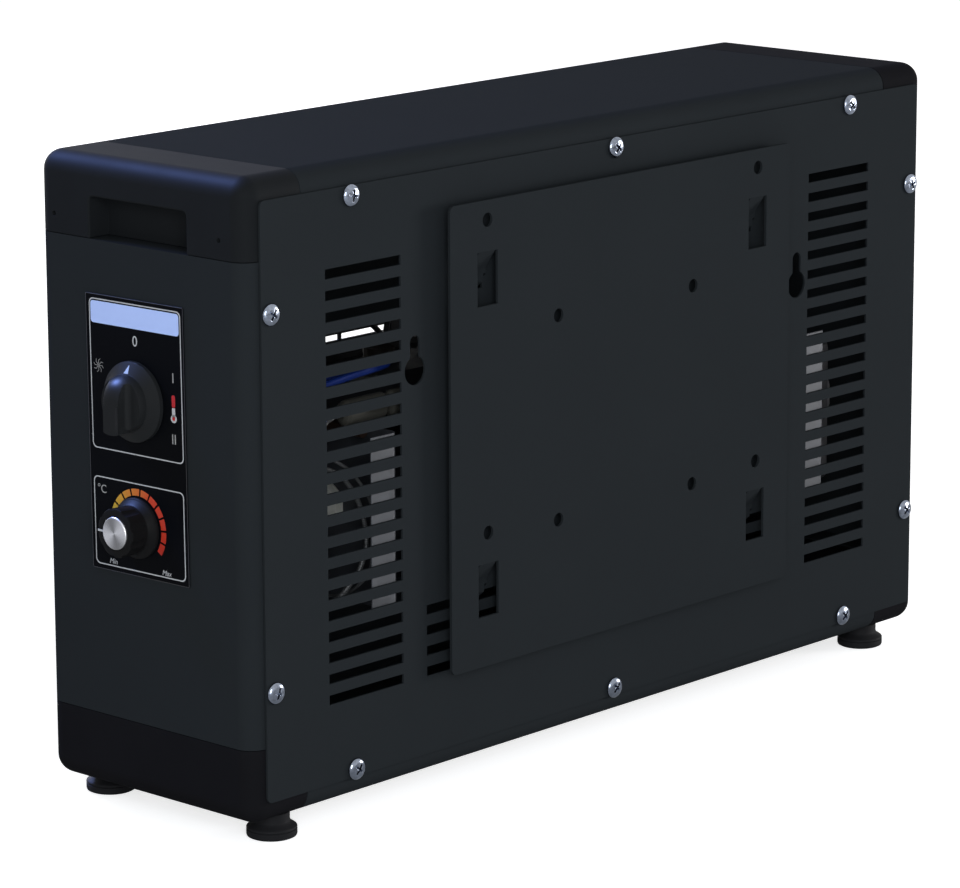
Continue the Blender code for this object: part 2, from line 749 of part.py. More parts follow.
def add_foot_holes(cap, side):
    """Holes for the foot screws through the floor of a bottom cap."""
    loops = [circle(x, y, FOOT_BORE / 2) for x, y in foot_places(side)]
    cutter = sheet(f"{cap.name}_foot_holes", loops, "Z", BASE_Z - OVERRUN, BASE_Z + CAP_WALL + OVERRUN)
    combine(cap, "DIFFERENCE", cutter)


def keyhole(x):
    """A round opening with a narrower slot rising from it to a round end."""
    half = KEYHOLE_SLOT / 2
    start = math.acos(half / (KEYHOLE_BORE / 2))
    z = TOP_Z - KEYHOLE_TOP_INSET
    outline = []
    for j in range(HOLE_STEPS + 1):
        turn = math.pi - start + (math.pi + 2 * start) * j / HOLE_STEPS
        outline.append((x + KEYHOLE_BORE / 2 * math.cos(turn), z + KEYHOLE_BORE / 2 * math.sin(turn)))
    top = z + KEYHOLE_RISE - half
    for j in range(ARC_STEPS + 1):
        turn = math.pi * j / ARC_STEPS
        outline.append((x + half * math.cos(turn), top + half * math.sin(turn)))
    return outline


def louvres():
    """The air slots: a column at each side and short rows low in the middle."""
    loops = []
    first = TOP_Z - SLOT_TOP_INSET
    outer = HALF_X - SLOT_INSET
    gap = (2 * CENTRE_HALF_SPAN - CENTRE_COLUMNS * SLOT_LENGTH) / (CENTRE_COLUMNS - 1)
    for row in range(SLOT_ROWS):
        top = first - row * SLOT_PITCH
        starts = [-outer, outer - SLOT_LENGTH]
        if row >= SLOT_ROWS - CENTRE_ROWS:
            starts += [-CENTRE_HALF_SPAN + i * (SLOT_LENGTH + gap) for i in range(CENTRE_COLUMNS)]
        loops += [rectangle(x, top - SLOT_HEIGHT, x + SLOT_LENGTH, top) for x in starts]
    return loops


def panel_outline():
    """The outline that the front and back panels share."""
    side = HALF_X - PANEL_SIDE_INSET
    return rounded(rectangle(-side, PANEL_LOW, side, PANEL_HIGH), PANEL_RADIUS)


def panels():
    """The louvred back panel and the front panel with its outlet."""
    screws = [circle(x, z, SCREW_HOLE / 2) for x, z in screw_places()]
    keys = [keyhole(side * (HALF_X - KEYHOLE_END_INSET)) for side in (-1, 1)]
    loops = [panel_outline(), *louvres(), *keys, *screws]
    back = sheet("back_panel", loops, "Y", PANEL_FACE - PANEL_SHEET, PANEL_FACE, "powder_coat")
    hook_slots = []
    for x in (-WINDOW_X, WINDOW_X):
        for top in WINDOW_TOPS:
            low, high = hook_slot(top)
            half = TONGUE_NECK_WIDTH / 2 + GAP
            hook_slots.append(rectangle(x - half, low, x + half, high))
    reach = PANEL_FACE + OVERRUN
    combine(back, "DIFFERENCE", sheet("hook_slots", hook_slots, "Y", HALF_Y - OVERRUN, reach))
    half_length, half_height = OUTLET_LENGTH / 2, OUTLET_HEIGHT / 2
    outlet = rounded(
        rectangle(-half_length, AXIS_Z - half_height, half_length, AXIS_Z + half_height), OUTLET_RADIUS
    )
    loops = [panel_outline(), outlet, *screws]
    sheet("front_panel", loops, "Y", -PANEL_FACE, -PANEL_FACE + PANEL_SHEET, "powder_coat")


def outlet_grille():
    """The guard behind the outlet: a frame with rows of bars and a few uprights."""
    half_length = OUTLET_LENGTH / 2 + GRILLE_BORDER
    half_height = OUTLET_HEIGHT / 2 + GRILLE_BORDER
    loops = [rectangle(-half_length, AXIS_Z - half_height, half_length, AXIS_Z + half_height)]
    rows = int(OUTLET_HEIGHT / GRILLE_PITCH)
    pitch = (OUTLET_HEIGHT + GRILLE_BAR) / rows
    length = (OUTLET_LENGTH + GRILLE_BAR) / GRILLE_COLUMNS
    for row in range(rows):
        low = AXIS_Z - OUTLET_HEIGHT / 2 + row * pitch
        for column in range(GRILLE_COLUMNS):
            start = -OUTLET_LENGTH / 2 + column * length
            loops.append(rectangle(start, low, start + length - GRILLE_BAR, low + pitch - GRILLE_BAR))
    front = -PANEL_FACE + PANEL_SHEET + GAP
    sheet("outlet_grille", loops, "Y", front, front + GRILLE_DEPTH, "moulded_black")


def feet():
    """Four turned feet, each held by a screw from below."""
    stem, rim, recess = FOOT_STEM / 2, FOOT_RIM / 2, FOOT_RECESS / 2
    bore = FOOT_BORE / 2
    top = FOOT_HEIGHT - GAP
    profile = [
        (bore, top),
        (stem, top),
        (stem, FOOT_FLARE_TOP),
        (rim, FOOT_RIM_TOP),
        (rim, FOOT_CHAMFER),
        (rim - FOOT_CHAMFER, 0),
        (recess, 0),
        (recess, FOOT_RECESS_DEPTH),
        (bore, FOOT_RECESS_DEPTH),
    ]
    for end, side in (("control", 1), ("plain", -1)):
        for edge, (x, y) in zip(("rear", "front"), foot_places(side)):
            smooth(turned(f"foot_{edge}_{end}", profile, (x, y, 0), (0, 0, 1), finish="rubber_black"))


def tongue_levels(top):
    """Heights at which a tongue under a window top changes: bend end, neck start, tip start and tip end."""
    bend = top - (PLATE_STANDOFF - GAP)
    neck = bend - TONGUE_FLAT
    tip = neck - TONGUE_NECK
    return bend, neck, tip, tip - TONGUE_TIP


def hook_slot(top):
    """Bottom and top of the panel slot that a tongue hooks through, with room to lift the plate off."""
    bend, neck, tip, end = tongue_levels(top)
    crossing = tip - (PLATE_SHEET + GAP + PANEL_SHEET)
    return crossing - GAP, tip + PLATE_LIFT + PLATE_SHEET


def tongue(name, middle, top):
    """One tongue: a strip bent inward under a window's top, cut to its stepped and tapered shape."""
    bend, neck, tip, end = tongue_levels(top)
    root = PLATE_FACE - GAP
    back = PANEL_FACE + GAP + PLATE_SHEET
    section = ribbon([(back - TONGUE_TIP, end), (back, tip), (back, bend), (root, top)], PLATE_SHEET)
    shoulder, slope = section[4], (root - back) / (top - bend)
    neck_y = PLATE_FACE - PLATE_SHEET + GAP
    shelf = (shoulder[0] - (shoulder[1] - top + GAP) * slope, top - GAP)
    section[4:5] = [(root, top + PLATE_SHEET), (neck_y, top + PLATE_SHEET), (neck_y, top - GAP), shelf]
    reach = WINDOW_WIDTH / 2
    strip = sheet(name, [section], "X", middle - reach, middle + reach)
    wide, narrow, point = reach - TONGUE_SIDE_GAP, TONGUE_NECK_WIDTH / 2, TONGUE_TIP_WIDTH / 2
    right = [(point, end - OVERRUN), (point, end), (narrow, tip), (narrow, neck)]
    right += [(wide, neck), (wide, top + OVERRUN)]
    left = [(-u, v) for u, v in reversed(right)]
    shape = [(middle + u, v) for u, v in right + left]
    return combine(strip, "INTERSECT", sheet(f"{name}_shape", [shape], "Y", 0, PLATE_FACE + OVERRUN))


def mounting_plate():
    """The hook-on plate: hole patterns, four windows, and a tongue under the top of each."""
    half_length = PLATE_LENGTH / 2
    outline = rounded(rectangle(-half_length, PLATE_LOW, half_length, PLATE_HIGH), PLATE_RADIUS)
    loops, tongues = [outline], []
    for side, end in ((-1, "plain"), (1, "control")):
        square, middle = side * SQUARE_PATTERN / 2, side * WINDOW_X
        half = WINDOW_WIDTH / 2
        for v in (-SQUARE_PATTERN / 2, SQUARE_PATTERN / 2):
            loops.append(circle(square, PLATE_MID + v, PLATE_HOLE / 2))
        for level, top in zip(("upper", "lower"), WINDOW_TOPS):
            loops.append(circle(middle, top + OUTER_HOLE_RISE, PLATE_HOLE / 2))
            loops.append(rectangle(middle - half, top - WINDOW_HEIGHT, middle + half, top))
            tongues.append(tongue(f"tongue_{level}_{end}", middle, top))
    plate = sheet("mounting_plate", loops, "Y", PLATE_FACE - PLATE_SHEET, PLATE_FACE, "powder_coat")
    combine(plate, "UNION", *tongues)


def control_label():
    """The thin label behind both knobs."""
    left = CONTROL_Y - LABEL_WIDTH / 2
    low = TOP_Z - LABEL_TOP_INSET - LABEL_HEIGHT
    outline = rounded(rectangle(left, low, left + LABEL_WIDTH, low + LABEL_HEIGHT), LABEL_RADIUS, 2)
    holes = [bush_hole(z) for z in (SWITCH_Z, THERMOSTAT_Z)]
    face = HALF_X + GAP
    sheet("control_label", [outline, *holes], "X", face, face + LABEL_THICKNESS, "label_black")


def control_shaft(name, z, depth):
    """A control's shaft, from inside its body to inside its knob."""
    start = HALF_X - SHEET - depth / 2
    end = KNOB_BASE + KNOB_BORE_DEPTH - GAP
    radius = CONTROL_SHAFT / 2
    profile = [(0, end - start), (radius, end - start), (radius, 0), (0, 0)]
    shaft = turned(name, profile, (start, CONTROL_Y, BASE_Z + z), (1, 0, 0), finish="aluminium")
    smooth(shaft)
    set_axis(shaft, (KNOB_BASE, CONTROL_Y, BASE_Z + z))


def control_body(name, z, width, height, depth, finish):
    """A control's body behind the end panel, with a bush through the panel and a bore for the shaft."""
    face = HALF_X - SHEET - GAP
    centre_z = BASE_Z + z
    outline = rounded(
        rectangle(
            CONTROL_Y - width / 2, centre_z - height / 2, CONTROL_Y + width / 2, centre_z + height / 2
        ),
        SWITCH_RADIUS,
    )
    body = sheet(name, [outline], "X", face - depth, face, finish)
    bush = circle(CONTROL_Y, centre_z, CONTROL_BUSH / 2, TURN_STEPS)
    combine(body, "UNION", sheet(f"{name}_bush", [bush], "X", face - depth / 2, HALF_X + GAP))
    bore = circle(CONTROL_Y, centre_z, CONTROL_SHAFT / 2 + GAP, KNOB_STEPS)
    start = HALF_X - SHEET - depth / 2 - GAP
    combine(body, "DIFFERENCE", sheet(f"{name}_bore", [bore], "X", start, HALF_X + OVERRUN))
    return body, face - depth


def mode_switch():
    """The rotary switch with its tabs, its shaft and its knob."""
    body, back = control_body("switch_body", SWITCH_Z, SWITCH_WIDTH, SWITCH_HEIGHT, SWITCH_DEPTH, "phenolic")
    tabs = []
    for y in (-TERMINAL_SPREAD, 0, TERMINAL_SPREAD):
        for z in (-TERMINAL_SPREAD, TERMINAL_SPREAD):
            low_y = CONTROL_Y + y - TERMINAL_THICKNESS / 2
            low_z = BASE_Z + SWITCH_Z + z - TERMINAL_WIDTH / 2
            tabs.append(rectangle(low_y, low_z, low_y + TERMINAL_THICKNESS, low_z + TERMINAL_WIDTH))
    combine(body, "UNION", sheet("switch_tabs", tabs, "X", back - TERMINAL_LENGTH, back + OVERRUN))
    control_shaft("switch_shaft", SWITCH_Z, SWITCH_DEPTH)
    switch_knob()


def knob_bar(place):
    """The lower half of the grip bar, which keeps its full height down to the rim."""
    half, grip = KNOB_BAR / 2, KNOB_GRIP / 2
    reach = math.asin(half / grip)
    loop = [(place[1] + half, place[2]), (place[1] - half, place[2])]
    for i in range(HOLE_STEPS + 1):
        turn = reach * (2 * i / HOLE_STEPS - 1)
        loop.append((place[1] + grip * math.sin(turn), place[2] - grip * math.cos(turn)))
    return sheet("knob_bar", [loop], "X", place[0] + KNOB_FLANGE_HEIGHT, place[0] + KNOB_CREST)


def knob_scoop(place, side):
    """Cutter for the hollow on one side of the grip bar, open at both its ends."""
    radius, floor = KNOB_SCOOP_RADIUS, place[0] + KNOB_SCOOP_FLOOR
    near = KNOB_BAR / 2
    high = place[0] + KNOB_CREST + OVERRUN
    loop = [(high, near), (high, KNOB_GRIP), (floor, KNOB_GRIP)]
    for i in range(HOLE_STEPS + 1):
        turn = math.pi / 2 * i / HOLE_STEPS
        loop.append((floor + radius * (1 - math.cos(turn)), near + radius * (1 - math.sin(turn))))
    loop = [(x, place[1] + side * y) for x, y in loop]
    return sheet("knob_scoop", [loop], "Z", place[2] - KNOB_GRIP, place[2] + KNOB_GRIP)


def switch_knob():
    """The grip knob: a coned flange, a domed drum, two scoops that leave a bar between them."""
    flange = KNOB_FLANGE / 2
    step = KNOB_FLANGE_HEIGHT
    crest = KNOB_CREST
    crown, radius = KNOB_CROWN / 2, KNOB_SHOULDER_RADIUS
    foot = step + KNOB_CONE_HEIGHT
    last = math.acos((foot - crest + radius) / radius)
    profile = [(0, crest)]
    for i in range(HOLE_STEPS + 1):
        turn = last * i / HOLE_STEPS
        profile.append((crown + radius * math.sin(turn), crest - radius + radius * math.cos(turn)))
    profile += [
        (flange - KNOB_FLANGE_CHAMFER, step),
        (flange, step - KNOB_FLANGE_CHAMFER),
        (flange, 0),
        (0, 0),
    ]
    place = (KNOB_BASE, CONTROL_Y, BASE_Z + SWITCH_Z)
    knob = turned("switch_knob", profile, place, (1, 0, 0), KNOB_STEPS, "knob_black")
    for side in (-1, 1):
        combine(knob, "DIFFERENCE", knob_scoop(place, side))
    combine(knob, "UNION", knob_bar(place))
    bore = circle(place[1], place[2], CONTROL_SHAFT / 2 + GAP, KNOB_STEPS)
    combine(knob, "DIFFERENCE", sheet("knob_bore", [bore], "X", place[0] - OVERRUN, place[0] + KNOB_BORE_DEPTH))
    smooth(set_axis(knob, place))


def thermostat():
    """The room thermostat with its diaphragm, capillary and bulb, its shaft and its dial."""
    body, back = control_body(
        "thermostat_body", THERMOSTAT_Z, THERMOSTAT_WIDTH, THERMOSTAT_HEIGHT, THERMOSTAT_DEPTH, "galvanised"
    )
    centre_z = BASE_Z + THERMOSTAT_Z
    cell = circle(CONTROL_Y, centre_z, DIAPHRAGM / 2, TURN_STEPS)
    combine(body, "UNION", sheet("diaphragm", [cell], "X", back - DIAPHRAGM_HEIGHT, back + OVERRUN))
    start = Vector((back - DIAPHRAGM_HEIGHT - GAP, CONTROL_Y, centre_z))
    bulb_x = END_PLATE + HOUSING_SHEET + GAP + BULB / 2
    bulb_y = BLOWER_Y - BULB_LENGTH / 2
    bulb_z = AXIS_Z + HOUSING_HEIGHT / 2 - BULB
    end = Vector((bulb_x, bulb_y, bulb_z))
    drop = Vector((0, 0, -DIAPHRAGM))
    reach = end - start
    points = [start, start - Vector((DIAPHRAGM_HEIGHT, 0, 0))]
    points += [start + reach / 4 + drop, start + reach * 3 / 4 + drop]
    points += [end - Vector((0, BULB, 0)), end + Vector((0, BULB / 2, 0))]
    line = tube("thermostat_capillary", points, CAPILLARY / 2, "copper")
    bulb = [(0, BULB_LENGTH), (BULB / 2, BULB_LENGTH), (BULB / 2, 0), (0, 0)]
    combine(line, "UNION", turned("thermostat_bulb", bulb, tuple(end), (0, 1, 0), HOLE_STEPS))
    smooth(line)
    control_shaft("thermostat_shaft", THERMOSTAT_Z, THERMOSTAT_DEPTH)
    thermostat_knob()


def thermostat_knob():
    """The dial: a skirt, a waist, a fluted grip and a metal cap let into its face."""
    skirt, throat, grip = DIAL_SKIRT / 2, DIAL_THROAT / 2, DIAL_GRIP / 2
    seat = DIAL_CAP / 2 + GAP
    seat_height = DIAL_HEIGHT - DIAL_CAP_SINK - GAP
    bore = CONTROL_SHAFT / 2 + GAP
    profile = [
        (0, seat_height),
        (seat, seat_height),
        (seat, DIAL_HEIGHT),
        (grip - DIAL_EDGE, DIAL_HEIGHT),
        (grip, DIAL_HEIGHT - DIAL_EDGE),
        (throat, DIAL_THROAT_HEIGHT),
        (skirt, DIAL_SKIRT_HEIGHT),
        (skirt, 0),
        (bore, 0),
        (bore, KNOB_BORE_DEPTH),
        (0, KNOB_BORE_DEPTH),
    ]
    place = (KNOB_BASE, CONTROL_Y, BASE_Z + THERMOSTAT_Z)
    knob = turned("thermostat_knob", profile, place, (1, 0, 0), KNOB_STEPS, "knob_black")
    ring = grip - DIAL_FLUTE_DEPTH + DIAL_FLUTE_RADIUS
    flutes = []
    for i in range(DIAL_FLUTES):
        turn = math.tau * (i + 1 / 2) / DIAL_FLUTES
        y, z = CONTROL_Y + ring * math.cos(turn), place[2] + ring * math.sin(turn)
        flutes.append(circle(y, z, DIAL_FLUTE_RADIUS, TURN_STEPS))
    cutter = sheet("dial_flutes", flutes, "X", KNOB_BASE + DIAL_THROAT_HEIGHT, DIAL_TOP + OVERRUN)
    combine(knob, "DIFFERENCE", set_axis(cutter, place))
    smooth(set_axis(knob, place))
    low = seat_height + GAP
    high = low + DIAL_CAP_THICKNESS
    disc = [(0, high), (DIAL_CAP / 2, high), (DIAL_CAP / 2, low), (0, low)]
    cap = turned("thermostat_knob_cap", disc, place, (1, 0, 0), KNOB_STEPS, "aluminium")
    smooth(set_axis(cap, place))


def blower_ends():
    """The two galvanised end plates of the blower, flanged against the front and back panels."""
    half = HOUSING_HEIGHT / 2
    motor_holes = [circle(BLOWER_Y, AXIS_Z, SHAFT / 2 + BRACKET)]
    for side in (-1, 1):
        y = BLOWER_Y + side * MOTOR_BOLT_SPACING / 2
        motor_holes.append(circle(y, AXIS_Z, MOTOR_BOLT_HOLE / 2))
    bearing_hole = [circle(BLOWER_Y, AXIS_Z, BEARING / 2 + GAP, TURN_STEPS)]
    ends = (("blower_end_control", 1, bearing_hole), ("blower_end_motor", -1, motor_holes))
    for name, side, holes in ends:
        tip, web = side * (END_PLATE + HOUSING_FLANGE), side * END_PLATE
        path = [(tip, -HALF_Y), (web, -HALF_Y), (web, HALF_Y), (tip, HALF_Y)]
        strip = ribbon(path if side < 0 else path[::-1], HOUSING_SHEET)
        plate = sheet(name, [strip], "Z", AXIS_Z - half, AXIS_Z + half, "galvanised")
        low, high = sorted((web - side * OVERRUN, web + side * (HOUSING_SHEET + OVERRUN)))
        combine(plate, "DIFFERENCE", sheet(f"{name}_holes", holes, "X", low, high))


def blower_walls():
    """The scroll round the impeller and the vortex wall over the outlet duct."""
    reach = END_PLATE - GAP
    start_radius = IMPELLER_DIAMETER / 2 + SCROLL_START_GAP
    end_radius = AXIS_Z - DUCT_LOW
    first, last = math.radians(60), math.radians(-90)
    turns = 12
    path = []
    for j in range(turns + 1):
        along = j / turns
        turn = first + (last - first) * along
        radius = start_radius + (end_radius - start_radius) * along
        path.append((BLOWER_Y + radius * math.cos(turn), AXIS_Z + radius * math.sin(turn)))
    path.append((DUCT_FRONT, DUCT_LOW))
    smooth(sheet("scroll_wall", [ribbon(path, WALL_SHEET)], "X", -reach, reach, "galvanised"))
    knee = (KNEE_Y, DUCT_HIGH)
    nose = (knee[0] + TONGUE_RUN, DUCT_HIGH - TONGUE_DROP)
    path = [(DUCT_FRONT, DUCT_HIGH), knee, nose, (nose[0] + TONGUE_LIP, nose[1] + TONGUE_LIP)]
    sheet("vortex_wall", [ribbon(path, WALL_SHEET)], "X", -reach, reach, "galvanised")


def blade_outline(turn):
    """One forward-curved blade, as an arc from the inner to the outer edge of the drum."""
    outer = IMPELLER_DIAMETER / 2 - IMPELLER_RIM
    path = []
    lean = math.radians(28)
    for j in range(ARC_STEPS):
        along = j / (ARC_STEPS - 1)
        radial = outer - IMPELLER_CHORD * along
        bow = IMPELLER_SAGITTA * 4 * along * (1 - along)
        swing = turn + math.tan(lean) * IMPELLER_CHORD * along / outer + bow / outer
        path.append((BLOWER_Y + radial * math.cos(swing), AXIS_Z + radial * math.sin(swing)))
    return ribbon(path, IMPELLER_BLADE)


def impeller():
    """The cross-flow impeller: curved blades through end and middle discs, on stub shafts."""
    half = IMPELLER_LENGTH / 2
    blades = [blade_outline(math.tau * i / IMPELLER_BLADES) for i in range(IMPELLER_BLADES)]
    reach = half - IMPELLER_DISC / 2
    wheel = sheet("impeller", blades, "X", -reach, reach, "moulded_black")
    radius, hub, bore = IMPELLER_DIAMETER / 2, IMPELLER_HUB / 2, SHAFT / 2 + GAP
    disc, boss = IMPELLER_DISC, IMPELLER_HUB_LENGTH
    inward = SHAFT_SEAT - boss
    middle = (0, BLOWER_Y, AXIS_Z)
    profile = [(bore, boss), (hub, boss), (hub, 0), (radius, 0), (radius, -disc), (hub, -disc)]
    profile += [(hub, -inward - disc), (0, -inward - disc), (0, -inward), (bore, -inward)]
    for side, word in ((-1, "motor"), (1, "bearing")):
        centre = (side * half, BLOWER_Y, AXIS_Z)
        end = turned(f"impeller_end_{word}", end_profile(profile), centre, (side, 0, 0), KNOB_STEPS)
        combine(wheel, "UNION", set_axis(end, middle))
    ring = [(0, disc / 2), (radius, disc / 2), (radius, -disc / 2), (0, -disc / 2)]
    for side, word in ((-1, "motor"), (1, "bearing")):
        centre = (side * half / 3, BLOWER_Y, AXIS_Z)
        divider = turned(f"impeller_disc_{word}", ring, centre, (1, 0, 0), KNOB_STEPS)
        combine(wheel, "UNION", set_axis(divider, middle))
    set_axis(wheel, middle)
    stub_shafts()


def end_profile(profile):
    """Starts a profile at the axis, so that the spin closes it there."""
    start = next(i for i, (radius, _) in enumerate(profile) if radius == 0)
    return profile[start + 1 :] + profile[: start + 1]


def stub_shafts():
    """The two stubs that carry the impeller: a short one in the bearing and a long one through the motor."""
    radius = SHAFT / 2
    inner = IMPELLER_LENGTH / 2 + IMPELLER_HUB_LENGTH - SHAFT_SEAT + GAP
    bearing_end = END_PLATE + HOUSING_SHEET + BEARING_LENGTH
    motor_end = END_PLATE + HOUSING_SHEET + MOTOR_STANDOFF + 2 * BRACKET + STACK + 4 * GAP + OVERRUN
    loops = [circle(BLOWER_Y, AXIS_Z, radius, TURN_STEPS)]
    shaft = sheet("impeller_shaft_motor", loops, "X", -motor_end, -inner, "zinc")
    smooth(set_axis(shaft, (0, BLOWER_Y, AXIS_Z)))
    shaft = sheet("impeller_shaft_bearing", loops, "X", inner, bearing_end, "zinc")
    smooth(set_axis(shaft, (0, BLOWER_Y, AXIS_Z)))


def bearing():
    """The flanged bush in the control-side end plate."""
    body, flange, bore = BEARING / 2, BEARING_FLANGE / 2, SHAFT / 2 + GAP
    thick = BEARING_FLANGE_THICKNESS
    low = -HOUSING_SHEET - 2 * GAP
    high = BEARING_LENGTH - HOUSING_SHEET
    profile = [(bore, high), (body, high), (body, thick), (flange, thick), (flange, 0), (body, 0)]
    profile += [(body, low), (bore, low)]
    place = (END_PLATE + HOUSING_SHEET + GAP, BLOWER_Y, AXIS_Z)
    smooth(turned("bearing_bush", profile, place, (1, 0, 0), finish="white_nylon"))


def motor():
    """The shaded-pole motor: laminated stack, coil, rotor and two bearing brackets."""
    front = END_PLATE + HOUSING_SHEET + MOTOR_STANDOFF
    stack_front = front + BRACKET + GAP
    stack_back = stack_front + STACK
    bolts = [(BLOWER_Y + side * MOTOR_BOLT_SPACING / 2, AXIS_Z) for side in (-1, 1)]
    bolt_holes = [circle(y, z, MOTOR_BOLT_HOLE / 2) for y, z in bolts]
    bottom = AXIS_Z - STACK_FOOT
    half = STACK_WIDTH / 2
    outline = rounded(rectangle(BLOWER_Y - half, bottom, BLOWER_Y + half, AXIS_Z + STACK_TOP), STACK_RADIUS)
    half = WINDOW_LENGTH / 2
    window = rectangle(BLOWER_Y - half, bottom + CORE, BLOWER_Y + half, bottom + CORE + WINDOW_GAP)
    tunnel = circle(BLOWER_Y, AXIS_Z, ROTOR / 2 + ROTOR_GAP, TURN_STEPS)
    loops = [outline, window, tunnel, *bolt_holes]
    sheet("motor_stack", loops, "X", -stack_back, -stack_front, "laminations")
    inner = rectangle(-stack_back - GAP, bottom - GAP, -stack_front + GAP, bottom + CORE + GAP)
    low, high = inner[0], inner[2]
    outer = rectangle(low[0] - COIL_BUILD, low[1] - COIL_BUILD, high[0] + COIL_BUILD, high[1] + COIL_BUILD)
    half = COIL_LENGTH / 2
    coil = [rounded(outer, COIL_RADIUS), inner]
    smooth(sheet("motor_coil", coil, "Y", BLOWER_Y - half, BLOWER_Y + half, "varnished_copper"))
    rotor = [circle(BLOWER_Y, AXIS_Z, radius, TURN_STEPS) for radius in (ROTOR / 2, SHAFT / 2 + GAP)]
    spinner = sheet("motor_rotor", rotor, "X", -stack_back, -stack_front, "laminations")
    smooth(set_axis(spinner, (0, BLOWER_Y, AXIS_Z)))
    motor_brackets(front, stack_back, bolt_holes, bolts)


def motor_brackets(front, stack_back, bolt_holes, bolts):
    """The cast brackets at both faces of the stack, the inner one on legs that stand on the end plate."""
    half_width, half_height = BRACKET_WIDTH / 2, BRACKET_HEIGHT / 2
    arm = rounded(
        rectangle(BLOWER_Y - half_width, AXIS_Z - half_height, BLOWER_Y + half_width, AXIS_Z + half_height),
        STACK_RADIUS,
    )
    loops = [arm, circle(BLOWER_Y, AXIS_Z, SHAFT / 2 + GAP, TURN_STEPS)]
    inner = sheet("motor_bracket_inner", loops, "X", -front - BRACKET, -front, "aluminium")
    outer = stack_back + GAP
    sheet("motor_bracket_outer", loops + bolt_holes, "X", -outer - BRACKET, -outer, "aluminium")
    legs = [circle(y, z, SPACER / 2) for y, z in bolts]
    foot = -END_PLATE - HOUSING_SHEET - GAP
    combine(inner, "UNION", sheet("motor_legs", legs, "X", -front - BRACKET / 2, foot))
    head = -front - BRACKET - OVERRUN
    combine(inner, "DIFFERENCE", sheet("motor_leg_bores", bolt_holes, "X", head, -END_PLATE))


def element():
    """The heating element: a frame in the outlet duct with heater bars and corrugated fins between them."""
    front = DUCT_FRONT + ELEMENT_INSET
    back = front + (KNEE_Y - front) * ELEMENT_DEPTH_SHARE
    reach = END_PLATE - GAP
    low, high = DUCT_LOW + GAP, DUCT_HIGH - GAP
    inside = reach - ELEMENT_END
    floor, ceiling = low + ELEMENT_RAIL, high - ELEMENT_RAIL
    loops = [rectangle(-reach, low, reach, high), rectangle(-inside, floor, inside, ceiling)]
    sheet("element_frame", loops, "Y", front, back, "white_nylon")
    middle = (front + back) / 2
    half = (back - front) * ELEMENT_BAR_DEPTH_SHARE / 2
    near, far = middle - half, middle + half
    end = inside - GAP
    bottom, top = floor + GAP, ceiling - GAP
    height = (top - bottom - 2 * FIN_SHEET - (ELEMENT_ROWS - 1) * ELEMENT_BAR) / ELEMENT_ROWS
    waves = int(2 * end / FIN_PITCH)
    pitch = (2 * end - FIN_SHEET) / waves
    lean = FIN_SHEET * math.hypot(1, 2 * height / pitch) / (2 * height / pitch)
    loops = [rectangle(-end, bottom, end, top)]
    for row in range(ELEMENT_ROWS):
        low = bottom + FIN_SHEET + row * (height + ELEMENT_BAR)
        high = low + height
        for i in range(waves):
            start = FIN_SHEET / 2 - end + i * pitch
            half = pitch / 2
            loops.append([(start + lean, low), (start + pitch - lean, low), (start + half, high - lean)])
            if i:
                loops.append([(start - half + lean, high), (start, low + lean), (start + half - lean, high)])
    sheet("element_core", loops, "Y", near, far, "aluminium")
    thermal_cutout(front, back)


def thermal_cutout(front, back):
    """The resettable cut-out on the duct's roof."""
    seat = DUCT_HIGH + WALL_SHEET + GAP
    body, flange = CUTOUT / 2, CUTOUT_FLANGE / 2
    profile = [(0, CUTOUT_HEIGHT), (body, CUTOUT_HEIGHT), (body, WALL_SHEET)]
    profile += [(flange, WALL_SHEET), (flange, 0), (0, 0)]
    place = (CUTOUT_X, (front + back) / 2, seat)
    smooth(turned("thermal_cutout", profile, place, (0, 0, 1), finish="phenolic"))


def mains_entry():
    """The terminal block on the casing floor and the gland through it."""
    floor = BASE_Z + SHEET + GAP
    half = BLOCK_LENGTH / 2
    step = BLOCK_STEP
    left, right = BLOCK_X - half, BLOCK_X + half
    hump = [(left, 0), (right, 0), (right, BLOCK_HEIGHT - step), (right - step, BLOCK_HEIGHT)]
    hump += [(left + step, BLOCK_HEIGHT), (left, BLOCK_HEIGHT - step)]
    loop = [(x, floor + z) for x, z in hump]
    low = BLOCK_Y - BLOCK_WIDTH / 2
    sheet("terminal_block", [loop], "Y", low, low + BLOCK_WIDTH, "white_nylon")
    bore, body, flange = GLAND_BORE / 2, GLAND / 2, GLAND_FLANGE / 2
    inner = SHEET + 2 * GAP
    profile = [(bore, inner + GLAND_NUT_HEIGHT), (flange, inner + GLAND_NUT_HEIGHT), (flange, inner)]
    profile += [(body, inner), (body, 0), (flange, 0)]
    profile += [(flange, -GLAND_FLANGE_HEIGHT), (bore, -GLAND_FLANGE_HEIGHT)]
    place = (GLAND_X, GLAND_Y, BASE_Z - GAP)
    smooth(turned("cable_gland", profile, place, (0, 0, 1), finish="moulded_black"))


def wires():
    """The inner wires: terminal block to switch, and switch to element, along hand-chosen routes."""
    bay = TABS_X - END_PLATE
    rise = BASE_Z + SWITCH_Z - BLOCK_TOP
    for name, (finish, diameter) in WIRES.items():
        shares = WIRE_ROUTE_SHARES[name]
        points = [(END_PLATE + bay * u, HALF_Y * v, BLOCK_TOP + rise * w) for u, v, w in shares]
        smooth(tube(name, points, diameter / 2, finish))


